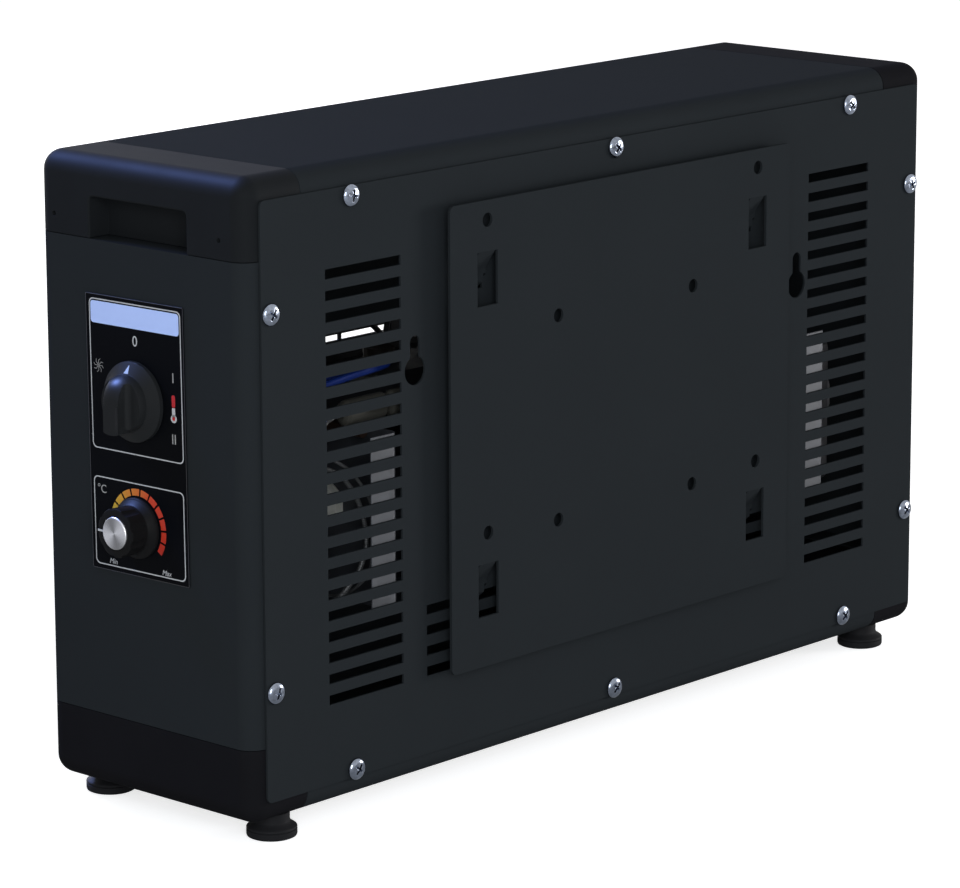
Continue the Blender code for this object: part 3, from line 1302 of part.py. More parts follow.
def main():
    """Builds every sub-assembly in turn."""
    long_sheets()
    for word, side in (("control", 1), ("plain", -1)):
        end_panel(f"end_panel_{word}", side)
        corner_cap(f"top_cap_{word}", side, 1)
        corner_cap(f"bottom_cap_{word}", side, -1)
    panels()
    outlet_grille()
    feet()
    mounting_plate()
    control_label()
    mode_switch()
    thermostat()
    blower_ends()
    blower_walls()
    impeller()
    bearing()
    motor()
    element()
    mains_entry()
    wires()


main()
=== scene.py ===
"""Dresses the fan heater's frame: casing, corners, label, knobs, screws, wires and heating element."""

import logging
import math
import random
from contextlib import contextmanager
from dataclasses import dataclass, field, replace
from enum import Enum
from typing import Any, Callable, Iterator, Optional, Sequence, Union

import bpy
from mathutils import Matrix, Vector


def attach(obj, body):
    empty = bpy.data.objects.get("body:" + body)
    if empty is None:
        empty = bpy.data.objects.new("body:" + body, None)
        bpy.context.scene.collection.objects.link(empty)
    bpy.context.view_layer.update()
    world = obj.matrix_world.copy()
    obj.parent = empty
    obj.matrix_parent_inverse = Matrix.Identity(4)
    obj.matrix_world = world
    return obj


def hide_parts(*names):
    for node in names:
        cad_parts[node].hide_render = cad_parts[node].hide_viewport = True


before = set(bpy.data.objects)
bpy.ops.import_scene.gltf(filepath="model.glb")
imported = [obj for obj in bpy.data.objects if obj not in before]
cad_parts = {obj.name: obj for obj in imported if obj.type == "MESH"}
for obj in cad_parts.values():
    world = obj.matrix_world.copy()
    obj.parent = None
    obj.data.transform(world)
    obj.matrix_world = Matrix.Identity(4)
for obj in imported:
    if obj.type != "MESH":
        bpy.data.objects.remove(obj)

log = logging.getLogger("fan_heater")
Place = Sequence[float]
# Lower left and upper right corner as (y, z), on the end wall
Patch = tuple[tuple[float, float], tuple[float, float]]
# Asks about a face by its centre and normal, or about an edge by its two ends
Test = Callable[[Vector, Vector], bool]

# From the middle of the casing, about which sizes are worked out, to the middle of the whole frame
FRAME_SHIFT = Vector((-0.00795, -0.0039, 0.0))
# Places closer than this are the same
NEAR = 0.00002
# Points of a mesh closer than this are merged
SAME_POINT = 0.000001
# Edges of turned pieces that bend by more than this stay sharp, in degrees
SHARP_BEND = 50.0
# How far a print on a knob stands above it, and how its edges are rounded
PRINT_RISE = 0.00006
PRINT_EDGE = 0.00003


class Body(Enum):
    """The bodies that a piece can ride on."""

    HEATER = "heater"
    SWITCH = "switch_knob"
    THERMOSTAT = "thermostat_knob"
    PLATE = "mounting_plate"


class Element(Enum):
    """What is selected in edit mode."""

    VERTS = (True, False, False)
    EDGES = (False, True, False)
    FACES = (False, False, True)


class Axis(Enum):
    """Direction of a drum's axis, as the turn that brings it there from upright."""

    X = (0.0, math.pi / 2, 0.0)
    Y = (math.pi / 2, 0.0, 0.0)


class End(Enum):
    """The two ends of the casing: the one with the controls and the plain one."""

    CONTROL = 1
    PLAIN = -1

    @property
    def word(self) -> str:
        """The end's name as the frame's nodes have it."""
        return self.name.lower()


class Level(Enum):
    """The upper and the lower corners of the casing."""

    TOP = 1
    BOTTOM = -1

    @property
    def word(self) -> str:
        """The level's name as the frame's nodes have it."""
        return self.name.lower()


# --------------------------------------------------------------------------------------------------
# Shader recipes
# --------------------------------------------------------------------------------------------------


@dataclass(frozen=True)
class Signal:
    """A shader socket that Python's own operators work on."""

    tree: bpy.types.NodeTree
    socket: bpy.types.NodeSocket

    def _math(self, operation: str, other: Any = None) -> "Signal":
        """Adds one Math node.

        Args:
            operation: The node's operation.
            other: Its second value or signal, where it has one.

        Returns:
            The node's result.
        """
        node = self.tree.nodes.new("ShaderNodeMath")
        node.operation = operation
        for socket, given in zip(node.inputs, (self, other)):
            if isinstance(given, Signal):
                self.tree.links.new(given.socket, socket)
            elif given is not None:
                socket.default_value = given
        return Signal(self.tree, node.outputs[0])

    def __add__(self, other: Any) -> "Signal":
        """Sum."""
        return self._math("ADD", other)

    def __sub__(self, other: Any) -> "Signal":
        """Difference."""
        return self._math("SUBTRACT", other)

    def __mul__(self, other: Any) -> "Signal":
        """Product."""
        return self._math("MULTIPLY", other)

    def __truediv__(self, other: Any) -> "Signal":
        """Quotient."""
        return self._math("DIVIDE", other)

    def __gt__(self, other: Any) -> "Signal":
        """One where the signal is the greater."""
        return self._math("GREATER_THAN", other)

    def angle(self, other: Any) -> "Signal":
        """The angle of the point (other, self), in radians."""
        return self._math("ARCTAN2", other)

    def sine(self) -> "Signal":
        """Sine."""
        return self._math("SINE")

    def power(self, exponent: float) -> "Signal":
        """The signal raised to a power."""
        return self._math("POWER", exponent)

    def mixed(self, other: "Signal", share: float) -> "Signal":
        """This signal by its share, and another by the rest."""
        return self * share + other * (1 - share)

    def wave(self) -> "Signal":
        """The signal's sine, brought between 0 and 1."""
        return self.sine() * 0.5 + 0.5


class Recipe:
    """One material's node tree, built round its Principled shader."""

    def __init__(self, name: str) -> None:
        """Starts an empty recipe.

        Args:
            name: Name of the material.
        """
        self.material = bpy.data.materials.new(name)
        self.material.use_nodes = True
        self.tree = self.material.node_tree
        self.shader = self.tree.nodes["Principled BSDF"]

    def node(
        self,
        kind: str,
        settings: Optional[dict[str, Any]] = None,
        inputs: Optional[dict[Union[str, int], Any]] = None,
        output: Union[str, int] = 0,
    ) -> Signal:
        """Adds a node of any kind.

        Args:
            kind: The node's type.
            settings: Its properties, set first; "stops" gives a ramp's places and colours.
            inputs: Values or signals for its sockets.
            output: The socket to give back.

        Returns:
            The chosen output.
        """
        node = self.tree.nodes.new(kind)
        for key, value in (settings or {}).items():
            if key == "stops":
                ramp = node.color_ramp.elements
                while len(ramp) < len(value):
                    ramp.new(1.0)
                for stop, (place, colour) in zip(ramp, value):
                    stop.position = place
                    stop.color = colour
            else:
                setattr(node, key, value)
        for key, value in (inputs or {}).items():
            if isinstance(value, Signal):
                self.tree.links.new(value.socket, node.inputs[key])
            else:
                node.inputs[key].default_value = value
        return Signal(self.tree, node.outputs[output])

    def place(self) -> Signal:
        """The point's place on the object."""
        return self.node("ShaderNodeTexCoord", output="Object")

    def split(self, vector: Signal) -> tuple[Signal, Signal, Signal]:
        """The three parts of a vector.

        Args:
            vector: The vector to split.

        Returns:
            Its x, y and z.
        """
        node = self.tree.nodes.new("ShaderNodeSeparateXYZ")
        self.tree.links.new(vector.socket, node.inputs[0])
        return tuple(Signal(self.tree, output) for output in node.outputs)

    def noise(self, scale: float, detail: float = 3.0) -> Signal:
        """Soft noise from 0 to 1, by its features to the metre and its octaves."""
        inputs = {"Vector": self.place(), "Scale": scale, "Detail": detail}
        return self.node("ShaderNodeTexNoise", inputs=inputs)

    def blend(self, factor: Signal, low: Sequence[float], high: Sequence[float]) -> Signal:
        """A colour between two.

        Args:
            factor: 0 for the first colour, 1 for the second.
            low: First colour, or a signal.
            high: Second colour, or a signal.

        Returns:
            The colour.
        """
        inputs = {0: factor}
        for key, colour in ((6, low), (7, high)):
            inputs[key] = colour if isinstance(colour, Signal) else (*colour, 1.0)
        return self.node("ShaderNodeMix", {"data_type": "RGBA"}, inputs, 2)

    def bump(self, height: Signal, strength: float, distance: float) -> None:
        """Gives the shader a relief, 0 to 1 in height over a distance in metres."""
        inputs = {"Height": height, "Strength": strength, "Distance": distance}
        self.feed("Normal", self.node("ShaderNodeBump", inputs=inputs))

    def feed(self, socket: str, value: Any) -> None:
        """Sets or links one of the shader's sockets.

        Args:
            socket: Name of the socket.
            value: A signal, number or colour.
        """
        if isinstance(value, Signal):
            self.tree.links.new(value.socket, self.shader.inputs[socket])
        else:
            self.shader.inputs[socket].default_value = value


def tint(colour: Sequence[float], factor: float) -> tuple[float, float, float]:
    """A colour made lighter or darker by a factor, 1 for no change."""
    return tuple(min(1.0, channel * factor) for channel in colour)


@dataclass(frozen=True)
class Finish:
    """A finish with soft mottling and a fine grain; every other finish starts from it."""

    name: str
    slot: str
    colour: tuple[float, float, float]
    roughness: float = 0.5
    metallic: float = 0.0
    specular: float = 0.5
    mottle: float = 0.08
    mottle_scale: float = 40.0
    uneven: float = 0.05
    grain_scale: float = 1500.0
    grain_depth: float = 0.00003
    grain_strength: float = 0.25

    def make(self) -> bpy.types.Material:
        """The finish's material, made on first use.

        Returns:
            The material.
        """
        found = bpy.data.materials.get(self.name)
        if found:
            return found
        recipe = Recipe(self.name)
        recipe.feed("Metallic", self.metallic)
        recipe.feed("Specular IOR Level", self.specular)
        self.paint(recipe)
        return recipe.material

    def lay(self, recipe: Recipe, pattern: Signal, spread: tuple[float, float], rough: Signal) -> None:
        """Lays the colour between two tints of the finish's own, and its uneven roughness.

        Args:
            recipe: The recipe to work on.
            pattern: 0 for the darker tint, 1 for the lighter one.
            spread: Factors of the two tints.
            rough: 0 where the surface is smoothest, 1 where it is roughest.
        """
        low, high = (tint(self.colour, factor) for factor in spread)
        recipe.feed("Base Color", recipe.blend(pattern, low, high))
        recipe.feed("Roughness", rough * (2 * self.uneven) + (self.roughness - self.uneven))

    def paint(self, recipe: Recipe) -> None:
        """Lays the mottling and the grain.

        Args:
            recipe: The recipe to work on.
        """
        clouds = recipe.noise(self.mottle_scale)
        grain = recipe.noise(self.grain_scale, 2.0)
        self.lay(recipe, clouds.mixed(grain, 0.6), (1 - self.mottle, 1 + self.mottle), clouds)
        recipe.bump(grain, self.grain_strength, self.grain_depth)


@dataclass(frozen=True)
class PowderCoat(Finish):
    """Fine-textured powder paint: close little lumps, with a duller skin between them."""

    mottle_scale: float = 14.0
    coarseness: float = 0.35

    def paint(self, recipe: Recipe) -> None:
        """Lays lumps of two sizes over soft clouds.

        Args:
            recipe: The recipe to work on.
        """
        clouds = recipe.noise(self.mottle_scale)
        fine = recipe.noise(self.grain_scale, 2.0)
        coarse = recipe.noise(self.grain_scale * self.coarseness, 1.0)
        lumps = fine.mixed(coarse, 0.65)
        self.lay(recipe, clouds.mixed(lumps, 0.5), (1 - self.mottle, 1 + self.mottle), lumps)
        recipe.bump(lumps, self.grain_strength, self.grain_depth)


@dataclass(frozen=True)
class Spangle(Finish):
    """Zinc-dipped sheet: crystals of slightly different grey, faint rolling streaks along them."""

    uneven: float = 0.08
    grain_scale: float = 420.0
    grain_strength: float = 0.15
    crystal_scale: float = 90.0

    def paint(self, recipe: Recipe) -> None:
        """Lays the crystals and the streaks.

        Args:
            recipe: The recipe to work on.
        """
        settings = {"feature": "F1", "distance": "CHEBYCHEV"}
        inputs = {"Vector": recipe.place(), "Scale": self.crystal_scale}
        cells = recipe.node("ShaderNodeTexVoronoi", settings, inputs, "Color")
        value = recipe.split(cells)[0]
        streaks = recipe.noise(self.grain_scale, 4.0)
        self.lay(recipe, value.mixed(streaks, 0.7), (0.72, 1.15), value)
        recipe.bump(streaks, self.grain_strength, self.grain_depth)


@dataclass(frozen=True)
class Spun(Finish):
    """Metal turned on a lathe: hair-fine rings, and a painted sheen about the axis that is lighter and
    darker by the angle.
    """

    uneven: float = 0.06
    grain_depth: float = 0.00002
    grain_strength: float = 0.2
    centre: tuple[float, float] = (0.0, 0.0)
    rings_per_metre: float = 26000.0
    painted_sheen_rays: float = 2.0
    first_painted_sheen_ray: float = 0.9

    def paint(self, recipe: Recipe) -> None:
        """Lays rings by the distance from the axis, and a painted sheen that is lighter and darker by the
        angle about it.

        Args:
            recipe: The recipe to work on.
        """
        _, y, z = recipe.split(recipe.place())
        across, up = y - self.centre[0], z - self.centre[1]
        away = (across * across + up * up).power(0.5)
        rings = (away * self.rings_per_metre).wave()
        # Painted sheen: two bright and two dark spokes of colour by the angle about the axis, standing in
        # for the highlight on spun metal
        painted_sheen_rays = (up.angle(across) * self.painted_sheen_rays + self.first_painted_sheen_ray).wave()
        self.lay(recipe, painted_sheen_rays.mixed(rings, 0.85), (0.35, 1.25), rings)
        recipe.bump(rings, self.grain_strength, self.grain_depth)


@dataclass(frozen=True)
class HeatInk(Finish):
    """Printing ink that runs round a dial from yellow through orange to red."""

    grain_scale: float = 2500.0
    grain_depth: float = 0.00001
    grain_strength: float = 0.1
    centre: tuple[float, float] = (0.0, 0.0)
    sweep: float = 260.0

    def paint(self, recipe: Recipe) -> None:
        """Lays the colours by the angle about the dial's centre, from the lower left round the top.

        Args:
            recipe: The recipe to work on.
        """
        _, y, z = recipe.split(recipe.place())
        turn = (y - self.centre[0]).angle(z - self.centre[1])
        along = turn / math.radians(self.sweep) + 0.5
        stops = [
            (0.0, (0.50, 0.44, 0.02, 1.0)),
            (0.24, (0.62, 0.44, 0.03, 1.0)),
            (0.44, (0.68, 0.22, 0.02, 1.0)),
            (0.62, (0.62, 0.055, 0.014, 1.0)),
            (1.0, (0.42, 0.02, 0.012, 1.0)),
        ]
        colour = recipe.node("ShaderNodeValToRGB", {"stops": stops}, {"Fac": along})
        screen = recipe.noise(self.grain_scale, 1.0)
        recipe.feed("Base Color", recipe.blend(screen * 0.25, colour, (0.02, 0.01, 0.01)))
        recipe.feed("Roughness", screen * 0.1 + self.roughness)
        recipe.bump(screen, self.grain_strength, self.grain_depth)


@dataclass(frozen=True)
class Ribbed(Finish):
    """A finish with close parallel lines: stacked laminations, wound wire or braided sleeve."""

    uneven: float = 0.06
    grain_strength: float = 0.5
    pitch: float = 0.0008
    direction: int = 0

    def paint(self, recipe: Recipe) -> None:
        """Lays lines across one direction of the object.

        Args:
            recipe: The recipe to work on.
        """
        along = recipe.split(recipe.place())[self.direction]
        lines = (along * (math.tau / self.pitch)).wave()
        clouds = recipe.noise(self.mottle_scale)
        self.lay(recipe, lines.mixed(clouds, 0.7), (0.55, 1.2), clouds)
        recipe.bump(lines, self.grain_strength, self.pitch / 6)


# --------------------------------------------------------------------------------------------------
# The modelling bench
# --------------------------------------------------------------------------------------------------


def edges(along: int, **planes: float) -> Test:
    """A test for the edges that run along one axis.

    Args:
        along: The axis, 0 to 2 for X to Z.
        planes: Planes that the edges lie in, such as z=0.1.

    Returns:
        The test.
    """

    def test(a: Vector, b: Vector) -> bool:
        """Whether an edge runs that way and lies there."""
        straight = all(abs(a[i] - b[i]) < NEAR for i in range(3) if i != along)
        return straight and all(abs(getattr(a, axis) - at) < NEAR for axis, at in planes.items())

    return test


class Bench:
    """What a maker does by hand, one operator after another."""

    @staticmethod
    def clear() -> None:
        """Leaves edit mode, with nothing selected."""
        if bpy.context.mode != "OBJECT":
            bpy.ops.object.mode_set(mode="OBJECT")
        bpy.ops.object.select_all(action="DESELECT")

    @staticmethod
    def pick(*pieces: bpy.types.Object) -> None:
        """Selects pieces alone, with the first one active.

        Args:
            pieces: The pieces.
        """
        Bench.clear()
        for piece in pieces:
            piece.select_set(True)
        bpy.context.view_layer.objects.active = pieces[0]

    @staticmethod
    def named(name: str) -> bpy.types.Object:
        """Names the new object and moves its place and turn into its mesh.

        Args:
            name: Name of the piece.

        Returns:
            The piece.
        """
        piece = bpy.context.active_object
        piece.name = name
        piece.data.name = name
        bpy.ops.object.transform_apply(location=True, rotation=True, scale=True)
        return piece

    @staticmethod
    def block(name: str, low: Place, high: Place) -> bpy.types.Object:
        """A block between two corners, given in any order.

        Args:
            name: Name of the piece.
            low: One corner.
            high: The opposite corner.

        Returns:
            The new piece.
        """
        Bench.clear()
        a, b = Vector(low), Vector(high)
        size = Vector(abs(value) for value in b - a)
        bpy.ops.mesh.primitive_cube_add(size=1, location=(a + b) / 2, scale=size)
        return Bench.named(name)

    @staticmethod
    def drum(
        name: str, centre: Place, radius: float, depth: float, axis: Axis, sides: int
    ) -> bpy.types.Object:
        """A round bar about a centre.

        Args:
            name: Name of the piece.
            centre: Its middle.
            radius: Its radius.
            depth: Its length along the axis.
            axis: Direction of the axis.
            sides: Number of facets.

        Returns:
            The new piece.
        """
        Bench.clear()
        bpy.ops.mesh.primitive_cylinder_add(
            vertices=sides, radius=radius, depth=depth, location=centre, rotation=axis.value
        )
        return Bench.named(name)

    @staticmethod
    def chain(name: str, points: Sequence[Place]) -> bpy.types.Object:
        """A run of edges through points, drawn by extruding one vertex.

        Args:
            name: Name of the piece.
            points: The points in order.

        Returns:
            The new piece.
        """
        Bench.clear()
        bpy.ops.mesh.primitive_plane_add(size=0.001, location=points[0])
        piece = Bench.named(name)
        with Bench.edit(piece, Element.VERTS):
            bpy.ops.mesh.merge(type="CENTER")
            for here, there in zip(points, points[1:]):
                step = Vector(there) - Vector(here)
                bpy.ops.mesh.extrude_vertices_move(TRANSFORM_OT_translate={"value": step})
        return piece

    @staticmethod
    def lathe(
        name: str,
        profile: Sequence[tuple[float, float]],
        centre: Place,
        toward: Place,
        steps: int,
        angle: float = math.tau,
    ) -> bpy.types.Object:
        """Spins a profile about an axis.

        Args:
            name: Name of the piece.
            profile: Points as (distance from the axis, height along it).
            centre: Where the axis has height 0.
            toward: Direction in which heights count.
            steps: Number of facets round the axis.
            angle: How far the profile is spun.

        Returns:
            The new piece.
        """
        piece = Bench.chain(name, [(radius, 0.0, height) for radius, height in profile])
        with Bench.edit(piece, Element.VERTS):
            bpy.ops.mesh.spin(steps=steps, angle=angle, center=(0, 0, 0), axis=(0, 0, 1))
            bpy.ops.mesh.select_all(action="SELECT")
            bpy.ops.mesh.remove_doubles(threshold=SAME_POINT)
            bpy.ops.mesh.normals_make_consistent(inside=False)
        turn = Vector((0, 0, 1)).rotation_difference(Vector(toward)).to_matrix().to_4x4()
        piece.data.transform(Matrix.Translation(centre) @ turn)
        return piece

    @staticmethod
    def mark(piece: bpy.types.Object, element: Element, test: Test) -> None:
        """Selects the faces or edges of a piece that pass a test.

        Args:
            piece: The piece, in object mode.
            element: What is tested.
            test: For a face it gets the centre and normal, for an edge its two ends.
        """
        mesh = piece.data
        for group in (mesh.vertices, mesh.edges, mesh.polygons):
            group.foreach_set("select", [False] * len(group))
        if element is Element.FACES:
            for face in mesh.polygons:
                face.select = test(face.center, face.normal)
            return
        for edge in mesh.edges:
            first, second = (mesh.vertices[index] for index in edge.vertices)
            if test(first.co, second.co):
                edge.select = first.select = second.select = True

    @staticmethod
    @contextmanager
    def edit(piece: bpy.types.Object, element: Element, test: Optional[Test] = None) -> Iterator[None]:
        """Edit mode on a piece, with all of it selected or what passes a test.

        Args:
            piece: The piece.
            element: What is selected.
            test: Test of each face or edge; all of the piece is selected without one.

        Yields:
            Nothing; the block runs in edit mode.
        """
        Bench.pick(piece)
        bpy.context.tool_settings.mesh_select_mode = element.value
        if test:
            Bench.mark(piece, element, test)
        bpy.ops.object.mode_set(mode="EDIT")
        if not test:
            bpy.ops.mesh.select_all(action="SELECT")
        yield
        bpy.ops.object.mode_set(mode="OBJECT")

    @staticmethod
    def open_faces(piece: bpy.types.Object, test: Test) -> None:
        """Deletes the faces that pass a test."""
        with Bench.edit(piece, Element.FACES, test):
            bpy.ops.mesh.delete(type="FACE")

    @staticmethod
    def round_edges(
        piece: bpy.types.Object, radius: float, segments: int = 4, test: Optional[Test] = None
    ) -> None:
        """Rounds the edges that pass a test, or all of them, in edit mode."""
        with Bench.edit(piece, Element.EDGES, test):
            bpy.ops.mesh.bevel(offset=radius, segments=segments, affect="EDGES", clamp_overlap=False)

    @staticmethod
    def slice(piece: bpy.types.Object, through: Place, keep: Place) -> None:
        """Cuts a piece by the plane through a point and keeps one side, open at the cut."""
        with Bench.edit(piece, Element.FACES):
            bpy.ops.mesh.bisect(plane_co=through, plane_no=keep, clear_inner=True)

    @staticmethod
    def face_toward(piece: bpy.types.Object, direction: Vector) -> None:
        """Turns an open skin's normals to one side.

        Args:
            piece: The skin.
            direction: The side that its first face must look to.
        """
        with Bench.edit(piece, Element.FACES):
            bpy.ops.mesh.normals_make_consistent(inside=False)
        if piece.data.polygons[0].normal.dot(direction) < 0:
            with Bench.edit(piece, Element.FACES):
                bpy.ops.mesh.flip_normals()

    @staticmethod
    def apply(piece: bpy.types.Object, kind: str, **settings: Any) -> None:
        """Adds a modifier and applies it.

        Args:
            piece: The piece.
            kind: Type of the modifier.
            settings: Its settings.
        """
        Bench.pick(piece)
        modifier = piece.modifiers.new(kind.lower(), kind)
        for key, value in settings.items():
            setattr(modifier, key, value)
        bpy.ops.object.modifier_apply(modifier=modifier.name)

    @staticmethod
    def thicken(piece: bpy.types.Object, wall: float, offset: float = -1.0) -> None:
        """Gives a skin a wall, inward unless the offset says otherwise."""
        Bench.apply(piece, "SOLIDIFY", thickness=wall, offset=offset, use_even_offset=True)

    @staticmethod
    def combine(piece: bpy.types.Object, operation: str, *tools: bpy.types.Object) -> None:
        """Cuts tools out of a piece, or adds them to it, and puts the tools away.

        Args:
            piece: The piece.
            operation: DIFFERENCE, UNION or INTERSECT.
            tools: The other solids.
        """
        for tool in tools:
            Bench.apply(piece, "BOOLEAN", operation=operation, solver="EXACT", object=tool)
            bpy.data.objects.remove(tool, do_unlink=True)

    @staticmethod
    def copies(piece: bpy.types.Object, places: Sequence[Matrix]) -> list[bpy.types.Object]:
        """Copies of a piece, each with its own mesh.

        Args:
            piece: The piece that is copied.
            places: How each copy is moved.

        Returns:
            The copies.
        """
        made = []
        for place in places:
            other = piece.copy()
            other.data = piece.data.copy()
            other.data.transform(place)
            bpy.context.scene.collection.objects.link(other)
            made.append(other)
        return made

    @staticmethod
    def join(name: str, pieces: Sequence[bpy.types.Object]) -> bpy.types.Object:
        """Puts several pieces into one object.

        Args:
            name: Name of the whole.
            pieces: The pieces.

        Returns:
            The whole.
        """
        Bench.pick(*pieces)
        if len(pieces) > 1:
            bpy.ops.object.join()
        whole = bpy.context.active_object
        whole.name = name
        whole.data.name = name
        return whole

    @staticmethod
    def spread(name: str, piece: bpy.types.Object, places: Sequence[Matrix]) -> bpy.types.Object:
        """Copies a piece to every place as one object, and puts the first one away.

        Args:
            name: Name of the whole.
            piece: The piece that is copied.
            places: How each copy is moved.

        Returns:
            The whole.
        """
        made = Bench.copies(piece, places)
        bpy.data.objects.remove(piece, do_unlink=True)
        return Bench.join(name, made)

    @staticmethod
    def copy(name: str, piece: bpy.types.Object, place: Matrix) -> bpy.types.Object:
        """One copy of a piece, moved and named.

        Args:
            name: Name of the copy.
            piece: The piece.
            place: Where the copy goes.

        Returns:
            The copy.
        """
        other = Bench.copies(piece, [place])[0]
        other.name = other.data.name = name
        return other

    @staticmethod
    def soften(piece: bpy.types.Object, width: float, segments: int = 2, angle: float = 40.0) -> None:
        """Breaks the sharp edges and shades the piece smooth, with its flats kept flat.

        Args:
            piece: The piece.
            width: Width of the broken edge.
            segments: Faces across it.
            angle: Sharpness in degrees from which an edge is broken.
        """
        if width:
            Bench.apply(
                piece,
                "BEVEL",
                width=width,
                segments=segments,
                limit_method="ANGLE",
                angle_limit=math.radians(angle),
                use_clamp_overlap=True,
                harden_normals=False,
            )
        Bench.pick(piece)
        bpy.ops.object.shade_smooth_by_angle(angle=math.radians(angle))
        Bench.apply(piece, "WEIGHTED_NORMAL", keep_sharp=True, weight=80)


@dataclass
class Assembly:
    """A sub-assembly: builds its pieces, dresses them, and remembers them for the report."""

    made: list[bpy.types.Object] = field(default_factory=list, init=False)

    def build(self) -> None:
        """Builds and dresses every piece."""
        raise NotImplementedError

    def dress(
        self,
        piece: bpy.types.Object,
        finish: Finish,
        body: Body = Body.HEATER,
        stands_for: Sequence[str] = (),
    ) -> bpy.types.Object:
        """Gives a finished mesh its finish and its place in the frame.

        Args:
            piece: The piece, about the middle of the casing.
            finish: Its finish.
            body: The body it rides on.
            stands_for: Nodes of the frame that it replaces.

        Returns:
            The piece.
        """
        piece.data.transform(Matrix.Translation(FRAME_SHIFT))
        piece.data.materials.clear()
        piece.data.materials.append(finish.make())
        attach(piece, body.value)
        if stands_for:
            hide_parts(*stands_for)
        self.made.append(piece)
        return piece

    def report(self) -> None:
        """Names each piece with its number of faces."""
        for piece in self.made:
            log.info("%s: %s, %d faces", type(self).__name__, piece.name, len(piece.data.polygons))


# --------------------------------------------------------------------------------------------------
# Finishes of this heater
# --------------------------------------------------------------------------------------------------

PAINT = PowderCoat(
    "anthracite_powder_coat", "powder_coat", (0.0168, 0.0196, 0.0220), roughness=0.9, specular=0.012,
    mottle=0.12, uneven=0.07, grain_scale=1900.0, grain_depth=0.00004, grain_strength=0.35,
)
CORNER = Finish(
    "corner_moulding", "moulded_black", (0.0105, 0.0117, 0.0130), roughness=0.6, specular=0.02,
    mottle=0.2, grain_scale=2600.0, grain_strength=0.3,
)
# The same moulding for the corners that stand in the shade, less touched by the lamps: its colour is
# darkened to paint that shade, and it shines less
SHADE_PAINTED_CORNER = replace(
    CORNER, name="shade_darkened_corner_moulding", colour=(0.0082, 0.0082, 0.0096), roughness=0.8, specular=0.01
)
GRILLE = Finish("grille_moulding", "moulded_black", (0.008, 0.008, 0.009), roughness=0.5, specular=0.1)
RUBBER = Finish(
    "foot_rubber", "rubber_black", (0.0125, 0.0125, 0.0138), roughness=0.6, specular=0.06, mottle=0.2
)
# Zinc of the screws and shafts: its colour is kept dark and mottled strongly in patches a few millimetres
# across, which paints the dark and bright reflections of the screw heads
PAINTED_GLINT_ZINC = Finish(
    "zinc_with_painted_glints", "zinc", (0.24, 0.27, 0.33), roughness=0.13, metallic=1.0, mottle=0.9,
    mottle_scale=260.0, uneven=0.06, grain_scale=900.0, grain_strength=0.1,
)
LABEL = Finish(
    "label_film", "label_black", (0.0022, 0.0025, 0.0034), roughness=0.45, specular=0.02, mottle=0.15,
    grain_scale=3000.0, grain_depth=0.00001,
)
INK = Finish(
    "white_ink", "label_black", (0.44, 0.45, 0.47), roughness=0.6, specular=0.2, mottle=0.05,
    mottle_scale=600.0, grain_depth=0.00001,
)
GREY_INK = replace(INK, name="grey_ink", colour=(0.06, 0.06, 0.065))
SOFT_INK = replace(INK, name="soft_ink", colour=(0.30, 0.30, 0.30))
RED_INK = replace(INK, name="red_ink", colour=(0.42, 0.018, 0.018), mottle=0.06)
BAND = replace(
    INK, name="pale_band_ink", colour=(0.44, 0.57, 1.0), roughness=0.5, specular=0.1, mottle_scale=300.0
)
KNOB = Finish(
    "knob_moulding", "knob_black", (0.0132, 0.0142, 0.0152), roughness=0.4, specular=0.045,
    mottle=0.12, grain_scale=3200.0, grain_strength=0.15,
)
GLOSS = Finish(
    "gloss_knob_moulding", "knob_black", (0.0070, 0.0070, 0.0074), roughness=0.5, specular=0.04,
    mottle=0.12, grain_scale=2600.0, grain_strength=0.06,
)
GALVANISED = Spangle(
    "galvanised_sheet", "galvanised", (0.050, 0.054, 0.062), roughness=0.45, metallic=0.4
)
# A darker copy of the galvanised sheet for the blower's walls and the thermostat inside the casing: its
# colour is darkened to paint the shade in there
SHADE_DARKENED_DUCT = Spangle("shade_darkened_duct", "galvanised", (0.022, 0.024, 0.028), roughness=0.55, metallic=0.2)
FOIL = Ribbed(
    "fin_foil", "aluminium", (0.62, 0.62, 0.63), roughness=0.35, metallic=0.9, pitch=0.0011, direction=1
)
CAST = Finish(
    "cast_aluminium", "aluminium", (0.50, 0.50, 0.51), roughness=0.5, metallic=0.9, mottle=0.15,
    grain_scale=700.0, grain_strength=0.5,
)
STACK = Ribbed(
    "motor_laminations", "laminations", (0.16, 0.16, 0.17), roughness=0.45, metallic=0.8, pitch=0.001
)
WINDING = Ribbed(
    "wound_coil", "varnished_copper", (0.34, 0.10, 0.045), roughness=0.35, pitch=0.0007, direction=1
)
COPPER = Finish(
    "copper_tube", "copper", (0.10, 0.06, 0.045), roughness=0.45, metallic=0.8, mottle=0.2
)
PHENOLIC = Finish(
    "brown_phenolic", "phenolic", (0.014, 0.011, 0.009), roughness=0.6, specular=0.1, mottle=0.25
)
NYLON = Finish("white_nylon_moulding", "white_nylon", (0.50, 0.50, 0.46), mottle=0.06)
MICA = Finish(
    "mica_board", "white_nylon", (0.42, 0.40, 0.34), roughness=0.55, mottle=0.18, mottle_scale=160.0
)
BROWN = Finish("brown_wire", "wire_brown", (0.07, 0.028, 0.014), specular=0.2, mottle=0.15)
BLUE = Finish("blue_wire", "wire_blue", (0.006, 0.022, 0.15), specular=0.1, mottle=0.15)
SLEEVE = Ribbed(
    "braided_sleeve", "wire_white", (0.075, 0.078, 0.08), roughness=0.4, pitch=0.0009, direction=2
)
SHRINK = Finish(
    "shrink_sleeve", "wire_white", (0.044, 0.043, 0.037), roughness=0.35, specular=0.2, mottle=0.3
)

